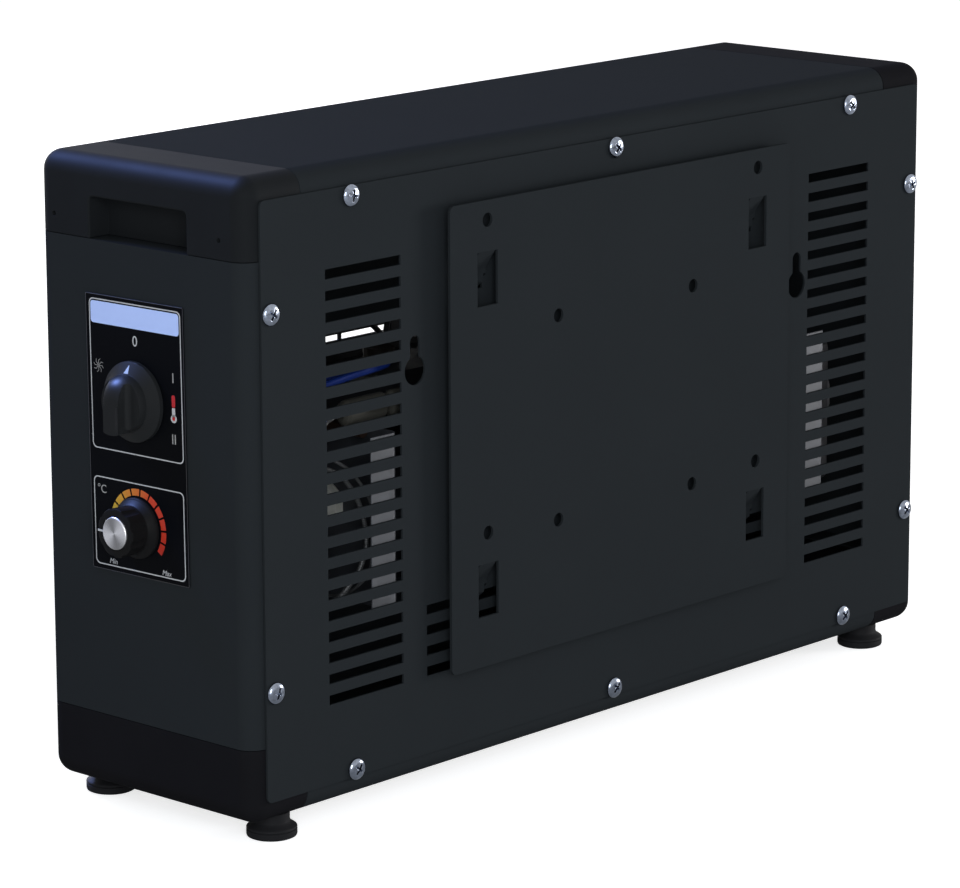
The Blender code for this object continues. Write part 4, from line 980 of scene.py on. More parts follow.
# Finish of each node of the frame that stays as it is
INNER_FINISHES = {
    "switch_body": PHENOLIC,
    "switch_shaft": CAST,
    "thermostat_body": SHADE_DARKENED_DUCT,
    "thermostat_capillary": COPPER,
    "thermostat_shaft": CAST,
    "scroll_wall": SHADE_DARKENED_DUCT,
    "vortex_wall": SHADE_DARKENED_DUCT,
    "impeller": GRILLE,
    "impeller_shaft_motor": PAINTED_GLINT_ZINC,
    "impeller_shaft_bearing": PAINTED_GLINT_ZINC,
    "bearing_bush": NYLON,
    "motor_stack": STACK,
    "motor_coil": WINDING,
    "motor_rotor": STACK,
    "motor_bracket_inner": CAST,
    "motor_bracket_outer": CAST,
    "element_frame": MICA,
    "thermal_cutout": PHENOLIC,
    "terminal_block": NYLON,
    "cable_gland": GRILLE,
}


# --------------------------------------------------------------------------------------------------
# Sub-assemblies
# --------------------------------------------------------------------------------------------------


@dataclass(frozen=True)
class Casing:
    """Sizes that the outer pieces share, about the middle of the casing."""

    length: float = 0.4987
    depth: float = 0.1364
    height: float = 0.2991
    base: float = 0.0121
    radius: float = 0.0096
    sheet: float = 0.001
    gap: float = 0.0003
    cap_length: float = 0.0353
    top_cap: float = 0.0378
    bottom_cap: float = 0.036
    panel: float = 0.0012
    screw_row_inset: float = 0.06595
    screw_side_inset: float = 0.01405
    screw_rows: tuple[float, float] = (0.0151, 0.0145)
    screw_levels: tuple[float, float] = (0.0623, 0.062)

    @property
    def half_x(self) -> float:
        """Half the length."""
        return self.length / 2

    @property
    def half_y(self) -> float:
        """Half the depth."""
        return self.depth / 2

    @property
    def top(self) -> float:
        """Height of the top face."""
        return self.base + self.height

    @property
    def panel_face(self) -> float:
        """Outer face of the back panel, and of the front panel with the other sign."""
        return self.half_y + self.gap + self.panel

    @property
    def screw_places(self) -> list[tuple[float, float]]:
        """Places (x, z) of the ten screws round each panel.

        Returns:
            The places, from the top row down and then the sides.
        """
        row, side = self.half_x - self.screw_row_inset, self.half_x - self.screw_side_inset
        down, up = self.screw_rows
        rows = [(x, z) for z in (self.top - down, self.base + up) for x in (-row, 0.0, row)]
        down, up = self.screw_levels
        return rows + [(x, z) for x in (-side, side) for z in (self.top - down, self.base + up)]


@dataclass
class BentSheets(Assembly):
    """The top and bottom sheets and the two end walls, bent from one thickness."""

    casing: Casing = field(default_factory=Casing)
    leg: float = 0.0252
    end_leg: float = 0.0244
    flange: float = 0.018
    broken_edge: float = 0.0004
    bend_segments: int = 12

    def build(self) -> None:
        """Bends the four sheets."""
        for level in Level:
            self.long_sheet(level)
        for end in End:
            self.end_wall(end)

    def long_sheet(self, level: Level) -> None:
        """Bends the top or the bottom sheet over both long edges.

        Args:
            level: Which of the two.
        """
        casing = self.casing
        reach = casing.half_x - casing.cap_length - casing.gap
        face = casing.top if level is Level.TOP else casing.base
        low = (-reach, -casing.half_y, face)
        high = (reach, casing.half_y, face - level.value * self.leg)
        piece = Bench.block(f"casing_{level.word}", low, high)
        Bench.open_faces(piece, lambda centre, normal: normal.z * level.value < -0.5 or abs(normal.x) > 0.5)
        Bench.round_edges(piece, casing.radius, self.bend_segments, edges(0, z=face))
        Bench.thicken(piece, casing.sheet)
        Bench.soften(piece, self.broken_edge)
        self.dress(piece, PAINT, stands_for=[f"{level.word}_sheet"])

    def end_wall(self, end: End) -> None:
        """Bends one end wall round both upright corners and adds its two flanges.

        Args:
            end: Which end.
        """
        casing = self.casing
        low_z = casing.base + casing.bottom_cap + casing.gap
        high_z = casing.top - casing.top_cap - casing.gap
        face = end.value * casing.half_x
        near = (face - end.value * self.end_leg, -casing.half_y, low_z)
        piece = Bench.block(f"end_wall_{end.word}", near, (face, casing.half_y, high_z))
        Bench.open_faces(piece, lambda centre, normal: abs(normal.z) > 0.5 or normal.x * end.value < -0.5)
        Bench.round_edges(piece, casing.radius, self.bend_segments, edges(2, x=face))
        Bench.thicken(piece, casing.sheet)
        reach = casing.half_y - casing.radius
        inner, outer = face - end.value * self.flange, face - end.value * casing.sheet / 2
        for name, level in (("lower", low_z), ("upper", high_z - casing.sheet)):
            corner = (outer, reach, level + casing.sheet)
            Bench.combine(piece, "UNION", Bench.block(f"{name}_flange", (inner, -reach, level), corner))
        Bench.soften(piece, self.broken_edge)
        self.dress(piece, PAINT, stands_for=[f"end_panel_{end.word}"])


@dataclass
class CornerMouldings(Assembly):
    """The four corner mouldings, the upper ones with a handle recess."""

    casing: Casing = field(default_factory=Casing)
    wall: float = 0.003
    handle_width: float = 0.0636
    handle_height: float = 0.0193
    handle_depth: float = 0.012
    handle_shift: float = -0.0007
    handle_radius: float = 0.0025
    rim_radius: float = 0.0009
    pin: float = 0.0011
    pin_depth: float = 0.0022
    pin_height: float = 0.029
    pin_spread: tuple[float, float] = (-0.0561, 0.0518)
    broken_edge: float = 0.0003
    bend_segments: int = 12

    def build(self) -> None:
        """Moulds all four corners."""
        for end in End:
            for level in Level:
                self.corner(end, level)

    def corner(self, end: End, level: Level) -> None:
        """Moulds one corner.

        Args:
            end: Which end of the casing.
            level: Upper or lower.
        """
        casing = self.casing
        height = casing.top_cap if level is Level.TOP else casing.bottom_cap
        edge = casing.top if level is Level.TOP else casing.base
        seam_x = end.value * (casing.half_x - casing.cap_length)
        seam_z = edge - level.value * height
        inner_x = end.value * (casing.half_x - 2 * casing.cap_length)
        inner = (inner_x, -casing.half_y, edge - level.value * 2 * height)
        outer = (end.value * casing.half_x, casing.half_y, edge)
        piece = Bench.block(f"corner_{level.word}_{end.word}", inner, outer)
        Bench.round_edges(piece, casing.radius, self.bend_segments)
        Bench.slice(piece, (seam_x, 0, 0), (end.value, 0, 0))
        Bench.slice(piece, (0, 0, seam_z), (0, 0, level.value))
        Bench.thicken(piece, self.wall)
        if level is Level.TOP:
            self.recess(piece, end)
            self.pins(piece, end)
        Bench.soften(piece, self.broken_edge)
        # Every corner but the upper one at the control end gets the moulding with painted shade
        finish = CORNER if level is Level.TOP and end is End.CONTROL else SHADE_PAINTED_CORNER
        self.dress(piece, finish, stands_for=[f"{level.word}_cap_{end.word}"])

    def recess(self, piece: bpy.types.Object, end: End) -> None:
        """Adds the pocket's walls, cuts the pocket and rounds its rim.

        Args:
            piece: The corner.
            end: Which end it is on.
        """
        casing = self.casing
        sign = end.value
        floor = casing.top - casing.top_cap
        roof = floor + self.handle_height
        half = self.handle_width / 2
        left, right = self.handle_shift - half, self.handle_shift + half
        back = sign * (casing.half_x - self.handle_depth)
        wall = self.wall * 2 / 3
        shell = Bench.block(
            "pocket_wall",
            (back - sign * wall, left - wall, floor),
            (sign * (casing.half_x - self.wall / 2), right + wall, roof + wall),
        )
        Bench.combine(piece, "UNION", shell)
        pocket = Bench.block(
            "pocket",
            (back, left, floor - self.handle_height),
            (sign * (casing.half_x + self.wall), right, roof),
        )
        Bench.round_edges(pocket, self.handle_radius, 6, edges(0, z=roof))
        Bench.combine(piece, "DIFFERENCE", pocket)
        face = sign * casing.half_x

        def on_rim(a: Vector, b: Vector) -> bool:
            """Whether an edge lies on the rim of the pocket.

            Args:
                a: One end of the edge.
                b: Its other end.

            Returns:
                True where it does.
            """
            flat = abs(a.x - face) < NEAR and abs(b.x - face) < NEAR
            inside = all(left - NEAR < p.y < right + NEAR and p.z < roof + NEAR for p in (a, b))
            level = abs(a.z - floor) < NEAR and abs(b.z - floor) < NEAR
            return flat and inside and not level

        Bench.round_edges(piece, self.rim_radius, 4, on_rim)

    def pins(self, piece: bpy.types.Object, end: End) -> None:
        """Sinks the two ejector-pin marks into the end face.

        Args:
            piece: The corner.
            end: Which end it is on.
        """
        casing = self.casing
        for place in self.pin_spread:
            centre = (end.value * casing.half_x, place, casing.top - self.pin_height)
            pin = Bench.drum("pin", centre, self.pin, 2 * self.pin_depth, Axis.X, 24)
            Bench.combine(piece, "DIFFERENCE", pin)


@dataclass
class Panels(Assembly):
    """The louvred back panel and the front panel with the outlet and its guard."""

    casing: Casing = field(default_factory=Casing)
    side_inset: float = 0.00835
    top_inset: float = 0.01045
    bottom_inset: float = 0.0106
    corner: float = 0.0028
    broken_edge: float = 0.0004
    slot: tuple[float, float] = (0.04955, 0.0046)
    slot_top_inset: float = 0.0468
    slot_end_inset: float = 0.0491
    slot_pitch: float = 0.009955
    slot_rows: int = 21
    centre_rows: int = 4
    centre_columns: int = 5
    centre_half: float = 0.1346
    keyhole: tuple[float, float, float, float] = (0.1416, 0.2088, 0.0138, 0.0065)
    keyhole_top: float = 0.2253
    screw_hole: float = 0.0045
    hook_x: float = 0.1
    hook_slots: tuple[float, float] = (0.2412, 0.0915)
    hook_slot: tuple[float, float] = (0.0092, 0.0108)
    outlet: tuple[float, float, float] = (0.29, 0.1073, 0.14065)
    outlet_corner: float = 0.004
    guard_border: float = 0.0027
    guard_depth: float = 0.0024
    guard_bar: float = 0.0018
    guard_edge: float = 0.0006
    guard_rows: int = 12
    guard_slit: float = 0.0030
    guard_posts: tuple[tuple[float, float], ...] = (
        (0.0080, 0.0154), (0.0505, 0.0519), (0.0900, 0.0914), (0.1295, 0.1309)
    )

    def build(self) -> None:
        """Builds both panels and the guard."""
        self.back_panel()
        self.front_panel()
        self.guard()

    def blank(self, name: str, side: int) -> bpy.types.Object:
        """A panel with rounded corners and its ten screw holes.

        Args:
            name: Name of the piece.
            side: 1 for the back, -1 for the front.

        Returns:
            The panel.
        """
        casing = self.casing
        reach = casing.half_x - self.side_inset
        face = side * casing.panel_face
        low = (-reach, face - side * casing.panel, casing.base + self.bottom_inset)
        piece = Bench.block(name, low, (reach, face, casing.top - self.top_inset))
        Bench.round_edges(piece, self.corner, 5, edges(1))
        hole = Bench.drum("screw_hole", (0, face, 0), self.screw_hole / 2, 4 * casing.panel, Axis.Y, 20)
        places = [Matrix.Translation((x, 0, z)) for x, z in casing.screw_places]
        Bench.combine(piece, "DIFFERENCE", Bench.spread("screw_holes", hole, places))
        return piece

    def louvres(self) -> bpy.types.Object:
        """The cutter for all air slots.

        Returns:
            The slots, joined in one piece.
        """
        casing = self.casing
        width, height = self.slot
        first = casing.top - self.slot_top_inset
        outer = casing.half_x - self.slot_end_inset
        reach = 2 * casing.panel
        near = (0, casing.panel_face - reach, -height)
        slot = Bench.block("slot", near, (width, casing.panel_face + reach, 0))
        columns, half = self.centre_columns, self.centre_half
        step = width + (2 * half - columns * width) / (columns - 1)
        places = []
        for row in range(self.slot_rows):
            top = first - row * self.slot_pitch
            starts = [-outer, outer - width]
            if row >= self.slot_rows - self.centre_rows:
                starts += [-half + column * step for column in range(columns)]
            places += [Matrix.Translation((start, 0, top)) for start in starts]
        return Bench.spread("slots", slot, places)

    def back_panel(self) -> None:
        """The back panel with louvres, keyholes and the slots that the plate hooks into."""
        casing = self.casing
        piece = self.blank("rear_panel", 1)
        face, depth = casing.panel_face, 4 * casing.panel
        Bench.combine(piece, "DIFFERENCE", self.louvres())
        place, height, bore, slot = self.keyhole
        upper = self.keyhole_top - slot / 2
        for x in (-place, place):
            for name, level, radius in (("bore", height, bore / 2), ("top", upper, slot / 2)):
                hole = Bench.drum(name, (x, face, level), radius, depth, Axis.Y, 40)
                Bench.combine(piece, "DIFFERENCE", hole)
            self.cut(piece, "neck", (x - slot / 2, height), (x + slot / 2, upper))
        width, tall = self.hook_slot
        for x in (-self.hook_x, self.hook_x):
            for level in self.hook_slots:
                self.cut(piece, "hook_slot", (x - width / 2, level), (x + width / 2, level + tall))
        Bench.soften(piece, self.broken_edge)
        self.dress(piece, PAINT, stands_for=["back_panel"])

    def cut(
        self, piece: bpy.types.Object, name: str, low: tuple[float, float], high: tuple[float, float]
    ) -> None:
        """Cuts a rectangle out of the back panel.

        Args:
            piece: The panel.
            name: Name of the cutter.
            low: Lower corner as (x, z).
            high: Upper corner as (x, z).
        """
        face, reach = self.casing.panel_face, 2 * self.casing.panel
        near, far = (low[0], face - reach, low[1]), (high[0], face + reach, high[1])
        Bench.combine(piece, "DIFFERENCE", Bench.block(name, near, far))

    def front_panel(self) -> None:
        """The front panel with the outlet."""
        casing = self.casing
        piece = self.blank("face_panel", -1)
        width, tall, middle = self.outlet
        face = -casing.panel_face
        low = (-width / 2, face - casing.panel, middle - tall / 2)
        mouth = Bench.block("mouth", low, (width / 2, face + 2 * casing.panel, middle + tall / 2))
        Bench.round_edges(mouth, self.outlet_corner, 6, edges(1))
        Bench.combine(piece, "DIFFERENCE", mouth)
        Bench.soften(piece, self.broken_edge)
        self.dress(piece, PAINT, stands_for=["front_panel"])

    def guard(self) -> None:
        """The guard behind the outlet, with rows of rounded bars."""
        casing = self.casing
        width, tall, middle = self.outlet
        border = self.guard_border
        front = -casing.panel_face + casing.panel + casing.gap
        floor, roof, back = middle - tall / 2, middle + tall / 2, front + self.guard_depth
        low, high = (-width / 2 - border, front, floor - border), (width / 2 + border, back, roof + border)
        piece = Bench.block("outlet_guard", low, high)
        pitch = (tall - self.guard_slit) / self.guard_rows
        rows = [(floor + row * pitch, pitch - self.guard_bar) for row in range(self.guard_rows)]
        rows.append((roof - self.guard_slit, self.guard_slit))
        posts = sorted([*self.guard_posts, *((-right, -left) for left, right in self.guard_posts)])
        starts = [-width / 2, *(right for _, right in posts)]
        stops = [*(left for left, _ in posts), width / 2]
        openings = [
            Bench.block("opening", (left, front - border, bottom), (right, back + border, bottom + rise))
            for bottom, rise in rows
            for left, right in zip(starts, stops)
        ]
        Bench.combine(piece, "DIFFERENCE", Bench.join("openings", openings))
        Bench.soften(piece, self.guard_edge)
        self.dress(piece, GRILLE, stands_for=["outlet_grille"])


@dataclass
class HookPlate(Assembly):
    """The raised plate with its hole patterns, windows and bent tongues."""

    casing: Casing = field(default_factory=Casing)
    half_length: float = 0.1257
    low: float = 0.0602
    high: float = 0.2842
    sheet: float = 0.0015
    standoff: float = 0.0063
    corner: float = 0.003
    hole: float = 0.0067
    square: float = 0.05
    square_middle: float = 0.1722
    window_x: float = 0.1
    window_tops: tuple[float, float] = (0.2600, 0.1103)
    window: tuple[float, float] = (0.014, 0.0257)
    hole_rise: float = 0.01485
    tongue_half: float = 0.0055
    neck_half: float = 0.0033
    tip_half: float = 0.0013
    fold_drop: float = 0.0085
    flat: float = 0.0032
    neck: float = 0.0038
    tip: float = 0.0043
    broken_edge: float = 0.0004

    def build(self) -> None:
        """Cuts the plate and folds its tongues."""
        casing = self.casing
        face = casing.panel_face + self.standoff + self.sheet
        low = (-self.half_length, face - self.sheet, self.low)
        piece = Bench.block("hook_plate", low, (self.half_length, face, self.high))
        Bench.round_edges(piece, self.corner, 6, edges(1))
        square = (-self.square, self.square)
        windows = [(x, top) for x in (-self.window_x, self.window_x) for top in self.window_tops]
        spots = [(x, self.square_middle + rise) for x in square for rise in square]
        spots += [(x, top + self.hole_rise) for x, top in windows]
        hole = Bench.drum("hole", (0, face, 0), self.hole / 2, 4 * self.sheet, Axis.Y, 36)
        places = [Matrix.Translation((x, 0, z)) for x, z in spots]
        Bench.combine(piece, "DIFFERENCE", Bench.spread("holes", hole, places))
        width, tall = self.window
        for x, top in windows:
            corner = (x + width / 2, face + self.sheet, top)
            window = Bench.block("window", (x - width / 2, face - 2 * self.sheet, top - tall), corner)
            Bench.combine(piece, "DIFFERENCE", window)
            Bench.combine(piece, "UNION", self.tongue(x, top, face))
        Bench.soften(piece, self.broken_edge)
        self.dress(piece, PAINT, Body.PLATE, ["mounting_plate"])

    def tongue(self, x: float, top: float, face: float) -> bpy.types.Object:
        """Folds one tongue: inward under the window's top, down, narrower, and through the panel.

        Args:
            x: Middle of the window.
            top: Height of the window's top.
            face: Outer face of the plate.

        Returns:
            The tongue.
        """
        gap = self.casing.gap
        back = self.casing.panel_face + gap + self.sheet
        fold = top - self.fold_drop
        neck = fold - self.flat
        tip = neck - self.neck
        stations = [
            (face - gap, top + self.sheet / 2, self.tongue_half),
            (face - gap, top - gap / 2, self.tongue_half),
            (back, fold, self.tongue_half),
            (back, neck, self.tongue_half),
            (back, neck, self.neck_half),
            (back, tip, self.neck_half),
            (back - self.tip, tip - self.tip, self.tip_half),
        ]
        y, z, half = stations[0]
        strip = Bench.chain("tongue", [(x - half, y, z), (x + half, y, z)])
        with Bench.edit(strip, Element.EDGES):
            for here, (y, z, half) in zip(stations, stations[1:]):
                step = (0.0, y - here[0], z - here[1])
                bpy.ops.mesh.extrude_region_move(TRANSFORM_OT_translate={"value": step})
                bpy.ops.transform.resize(value=(half / here[2], 1, 1), center_override=(x, y, z))
            bpy.ops.mesh.select_all(action="SELECT")
            bpy.ops.mesh.remove_doubles(threshold=SAME_POINT)
        Bench.face_toward(strip, Vector((0, 1, 0)))
        Bench.thicken(strip, self.sheet)
        return strip


@dataclass
class Feet(Assembly):
    """The four turned feet."""

    casing: Casing = field(default_factory=Casing)
    end_inset: float = 0.0277
    rear_inset: float = 0.0159
    front_inset: float = 0.0122
    rim: float = 0.01185
    stem: float = 0.00845
    recess: float = 0.0048
    recess_depth: float = 0.005
    bore: float = 0.0023

    @property
    def places(self) -> list[tuple[str, float, float]]:
        """Each foot's name and its place (x, y).

        Returns:
            The four feet.
        """
        rear = self.casing.half_y - self.rear_inset
        front = self.front_inset - self.casing.half_y
        return [
            (f"{word}_{end.word}", end.value * (self.casing.half_x - self.end_inset), y)
            for end in End
            for word, y in (("rear", rear), ("front", front))
        ]

    def build(self) -> None:
        """Turns one foot and copies it under each corner."""
        top = self.casing.base - self.casing.gap
        profile = [
            (self.bore, top),
            (self.stem - 0.0003, top),
            (self.stem, top - 0.0003),
            (self.stem, 0.0078),
            (self.stem + 0.0004, 0.0070),
            (self.stem + 0.0014, 0.0061),
            (self.rim - 0.0009, 0.0054),
            (self.rim - 0.0002, 0.0049),
            (self.rim, 0.0045),
            (self.rim, 0.0041),
            (self.rim - 0.0005, 0.0039),
            (self.rim - 0.0005, 0.0036),
            (self.rim, 0.0034),
            (self.rim, 0.0011),
            (self.rim - 0.0003, 0.0004),
            (self.rim - 0.0011, 0.0),
            (self.recess, 0.0),
            (self.recess, self.recess_depth),
            (self.bore, self.recess_depth),
            (self.bore, top),
        ]
        first = Bench.lathe("foot", profile, (0, 0, 0), (0, 0, 1), 56)
        Bench.soften(first, 0.0, angle=SHARP_BEND)
        for word, x, y in self.places:
            piece = Bench.copy(f"foot_{word}_turned", first, Matrix.Translation((x, y, 0)))
            self.dress(piece, RUBBER, stands_for=[f"foot_{word}"])
        bpy.data.objects.remove(first, do_unlink=True)


@dataclass
class Screws(Assembly):
    """Pan-head cross-recess screws round both panels and under the feet."""

    casing: Casing = field(default_factory=Casing)
    head: float = 0.00525
    head_edge: float = 0.0001
    head_curve: float = 0.0026
    rise: float = 0.0025
    shank: float = 0.0019
    shank_length: float = 0.006
    recess: float = 0.0036
    recess_web: float = 0.0015
    recess_depth: float = 0.0019
    recess_taper: float = 0.55
    foot_scale: float = 0.85
    seed: int = 11

    def build(self) -> None:
        """Turns one screw and copies it to every place, each turned as it happened to stop."""
        casing = self.casing
        first = self.screw()
        chance = random.Random(self.seed)
        for word, side in (("rear", 1), ("front", -1)):
            for number, (x, z) in enumerate(casing.screw_places, 1):
                face = Matrix.Translation((x, side * (casing.panel_face + NEAR), z))
                upright = Matrix.Rotation(-side * math.pi / 2, 4, "X")
                turn = Matrix.Rotation(chance.uniform(0, math.pi / 2), 4, "Z")
                self.dress(Bench.copy(f"screw_{word}_{number:02d}", first, face @ upright @ turn), PAINTED_GLINT_ZINC)
        feet = Feet()
        smaller = Matrix.Diagonal((self.foot_scale, self.foot_scale, self.foot_scale, 1))
        for word, x, y in feet.places:
            place = Matrix.Translation((x, y, feet.recess_depth)) @ Matrix.Rotation(math.pi, 4, "X")
            self.dress(Bench.copy(f"foot_screw_{word}", first, place @ smaller), PAINTED_GLINT_ZINC)
        bpy.data.objects.remove(first, do_unlink=True)

    def screw(self) -> bpy.types.Object:
        """One screw that stands on the origin, head up.

        Returns:
            The screw.
        """
        profile = [(0.0, -self.shank_length), (self.shank, -self.shank_length), (self.shank, 0.0)]
        profile += [(self.head - 0.0002, 0.0), (self.head, 0.0003)]
        for step in range(7):
            turn = math.pi / 2 * (step + 1) / 8
            across = self.head - self.head_curve * (1 - math.cos(turn))
            profile.append((across, 0.0004 + (self.rise - 0.0007) * math.sin(turn)))
        profile += [(0.0012, self.rise), (0.0, self.rise)]
        piece = Bench.lathe("screw", profile, (0, 0, 0), (0, 0, 1), 32)
        half, web, taper = self.recess, self.recess_web / 2, self.recess_taper
        floor = self.rise - self.recess_depth
        for x, y in ((half, web), (web, half)):
            wing = Bench.block("wing", (-x, -y, floor), (x, y, self.rise + self.recess_depth))
            with Bench.edit(wing, Element.FACES, lambda centre, normal: normal.z < -0.5):
                bpy.ops.transform.resize(value=(taper, taper, 1), center_override=(0, 0, floor))
            Bench.combine(piece, "DIFFERENCE", wing)
        Bench.soften(piece, self.head_edge, 1, SHARP_BEND)
        return piece


@dataclass
class SwitchKnob(Assembly):
    """The grip knob: a coned flange and a domed drum, scooped away on both sides of its bar."""

    y: float = -0.0033
    z: float = 0.2014
    base: float = 0.25045
    flange: float = 0.0188
    flange_height: float = 0.0022
    cone_height: float = 0.0031
    cone_edge: float = 0.0007
    grip: float = 0.0134
    crest: float = 0.0153
    shoulder: float = 0.0107
    crown: float = 0.0028
    bar: float = 0.0098
    floor: float = 0.009
    hollow: float = 0.0028
    bore: float = 0.0033
    bore_depth: float = 0.008
    pointer_half: float = 0.0014
    pointer_depth: float = 0.00016
    pointer_taper: float = 0.12
    edge: float = 0.0009
    edge_bend: float = 28.0

    def build(self) -> None:
        """Moulds the knob and prints its pointer."""
        step, foot = self.flange_height, self.flange_height + self.cone_height
        last = math.acos((foot - self.crest + self.shoulder) / self.shoulder)
        profile = [(0.0, self.crest)]
        for i in range(19):
            turn = last * i / 18
            rise = self.crest - self.shoulder + self.shoulder * math.cos(turn)
            profile.append((self.crown + self.shoulder * math.sin(turn), rise))
        profile += [(self.grip + 0.0003, foot - 0.0002), (self.flange - self.cone_edge, step + 0.0002)]
        profile += [(self.flange - 0.0001, step - 0.0002), (self.flange, step - 0.0006), (self.flange, 0.0)]
        profile += [(self.bore, 0.0), (self.bore, self.bore_depth), (0.0, self.bore_depth)]
        centre = (self.base, self.y, self.z)
        piece = Bench.lathe("switch_grip_knob", profile, centre, (1, 0, 0), 96)
        for side in (-1, 1):
            Bench.combine(piece, "DIFFERENCE", self.hollow_cutter(side))
        Bench.combine(piece, "UNION", self.bar_block())
        Bench.soften(piece, self.edge, 3, self.edge_bend)
        self.dress(piece, KNOB, Body.SWITCH, ["switch_knob"])
        self.pointer()

    def bar_block(self) -> bpy.types.Object:
        """The lower half of the bar, which keeps its full height down to the rim.

        Returns:
            The bar.
        """
        half = self.bar / 2
        low = (self.base + self.flange_height, self.y - half, self.z - 2 * self.grip)
        bar = Bench.block("bar", low, (self.base + self.crest, self.y + half, self.z))
        middle = (self.base + self.crest / 2, self.y, self.z)
        Bench.combine(bar, "INTERSECT", Bench.drum("ends", middle, self.grip, 2 * self.crest, Axis.X, 96))
        return bar

    def hollow_cutter(self, side: int) -> bpy.types.Object:
        """What is taken off on one side of the bar, open at both ends.

        Args:
            side: 1 or -1 for the two sides.

        Returns:
            The cutter.
        """
        floor, near = self.base + self.floor, self.bar / 2
        high = self.base + self.crest + 0.002
        points = [(high, near), (high, 2 * self.grip), (floor, 2 * self.grip)]
        for i in range(13):
            turn = math.pi / 2 * i / 12
            out, away = self.hollow * (1 - math.cos(turn)), self.hollow * (1 - math.sin(turn))
            points.append((floor + out, near + away))
        low = self.z - 2 * self.grip
        outline = Bench.chain("hollow", [(x, self.y + side * y, low) for x, y in points])
        with Bench.edit(outline, Element.EDGES):
            bpy.ops.mesh.edge_face_add()
            bpy.ops.mesh.extrude_region_move(TRANSFORM_OT_translate={"value": (0, 0, 4 * self.grip)})
            bpy.ops.mesh.select_all(action="SELECT")
            bpy.ops.mesh.normals_make_consistent(inside=False)
        return outline

    def pointer(self) -> None:
        """The narrow pale triangle on the flange's cone."""
        low, high = self.grip + 0.0003, self.flange - 0.0009
        rise = self.flange_height + 0.0002
        top = self.flange_height + self.cone_height - 0.0003
        slope = (top - rise) / (self.flange - self.cone_edge - self.grip - self.cone_edge)
        half = self.pointer_half
        piece = Bench.block("switch_pointer", (0, -half, low), (self.pointer_depth, half, high))
        with Bench.edit(piece, Element.FACES, lambda centre, normal: normal.z > 0.5):
            bpy.ops.transform.resize(value=(1, self.pointer_taper, 1), center_override=(0, 0, high))
        Bench.round_edges(piece, PRINT_EDGE, 1)
        lean = Matrix.Rotation(-math.atan(slope), 4, "Y")
        away = Matrix.Translation((0, 0, -low))
        seat = top - slope * (low - self.grip - self.cone_edge) - PRINT_RISE
        back = Matrix.Translation((self.base + seat, self.y, self.z + low))
        piece.data.transform(back @ lean @ away)
        self.dress(piece, BAND, Body.SWITCH)


@dataclass
class ThermostatKnob(Assembly):
    """The dial: a skirt, a glossy waist, a fluted grip and a spun metal cap with a pointer line."""

    y: float = -0.0033
    z: float = 0.1420
    base: float = 0.25045
    skirt: float = 0.0143
    throat: float = 0.0111
    grip: float = 0.0116
    height: float = 0.0139
    flutes: int = 9
    flute_radius: float = 0.0046
    flute_depth: float = 0.0008
    flute_start: float = 0.0052
    cap: float = 0.0077
    cap_rise: float = 0.0008
    line_half: float = 0.0005
    edge: float = 0.0003
    edge_bend: float = 32.0
    bore: float = 0.0033
    bore_depth: float = 0.008

    def build(self) -> None:
        """Moulds the dial, lets in its cap and prints the line."""
        seat, top = self.cap + 0.0003, self.height
        profile = [(0.0, top - 0.0007), (seat, top - 0.0007), (seat, top - 0.0001), (seat + 0.0002, top)]
        profile += [(self.grip - 0.0008, top), (self.grip - 0.0002, top - 0.0003), (self.grip, top - 0.0009)]
        throat, skirt = self.throat, self.skirt
        profile += [(throat + 0.0001, 0.0044), (throat + 0.0003, 0.0038), (throat + 0.0009, 0.0032)]
        profile += [(skirt - 0.0009, 0.0018), (skirt - 0.0003, 0.0015), (skirt, 0.0010), (skirt, 0.0)]
        profile += [(self.bore, 0.0), (self.bore, self.bore_depth), (0.0, self.bore_depth)]
        centre = (self.base, self.y, self.z)
        piece = Bench.lathe("thermostat_dial", profile, centre, (1, 0, 0), 72)
        ring = self.grip - self.flute_depth + self.flute_radius
        low, high = self.base + self.flute_start, self.base + self.height + 0.002
        middle = ((low + high) / 2, self.y, self.z)
        flute = Bench.drum("flute", middle, self.flute_radius, high - low, Axis.X, 40)
        turns = [math.tau * (i + 0.5) / self.flutes for i in range(self.flutes)]
        places = [Matrix.Translation((0, ring * math.cos(turn), ring * math.sin(turn))) for turn in turns]
        Bench.combine(piece, "DIFFERENCE", Bench.spread("flutes", flute, places))
        Bench.soften(piece, self.edge, 2, self.edge_bend)
        self.dress(piece, GLOSS, Body.THERMOSTAT, ["thermostat_knob"])
        self.cap_disc(centre)

    def cap_disc(self, centre: Place) -> None:
        """The metal cap and its line.

        Args:
            centre: Where the dial's axis meets the label.
        """
        low, high = self.height - 0.0004, self.height + self.cap_rise
        cap = self.cap
        profile = [(0.0, high - 0.0001), (0.0018, high), (cap - 0.0007, high), (cap - 0.0002, high - 0.0002)]
        profile += [(cap, high - 0.0006), (cap, low), (0.0, low)]
        piece = Bench.lathe("thermostat_dial_cap", profile, centre, (1, 0, 0), 72)
        Bench.soften(piece, 0.0, angle=SHARP_BEND)
        axis = (self.y + FRAME_SHIFT.y, self.z)
        spun = Spun(
            "spun_aluminium", "aluminium", (0.62, 0.62, 0.64), roughness=0.3, metallic=0.85, centre=axis
        )
        self.dress(piece, spun, Body.THERMOSTAT, ["thermostat_knob_cap"])
        face, half = self.base + self.height, self.line_half
        near = (face - 0.0003, self.y - self.grip + 0.0001, self.z - half)
        far = (face + PRINT_RISE, self.y - cap - 0.0001, self.z + half)
        line = Bench.block("thermostat_pointer", near, far)
        Bench.round_edges(line, PRINT_EDGE, 1)
        self.dress(line, INK, Body.THERMOSTAT)


@dataclass(frozen=True)
class Sign:
    """A number or word on the label: its middle (y, z), its size and how far its letters lean."""

    name: str
    text: str
    y: float
    z: float
    size: float
    lean: float = 0.0


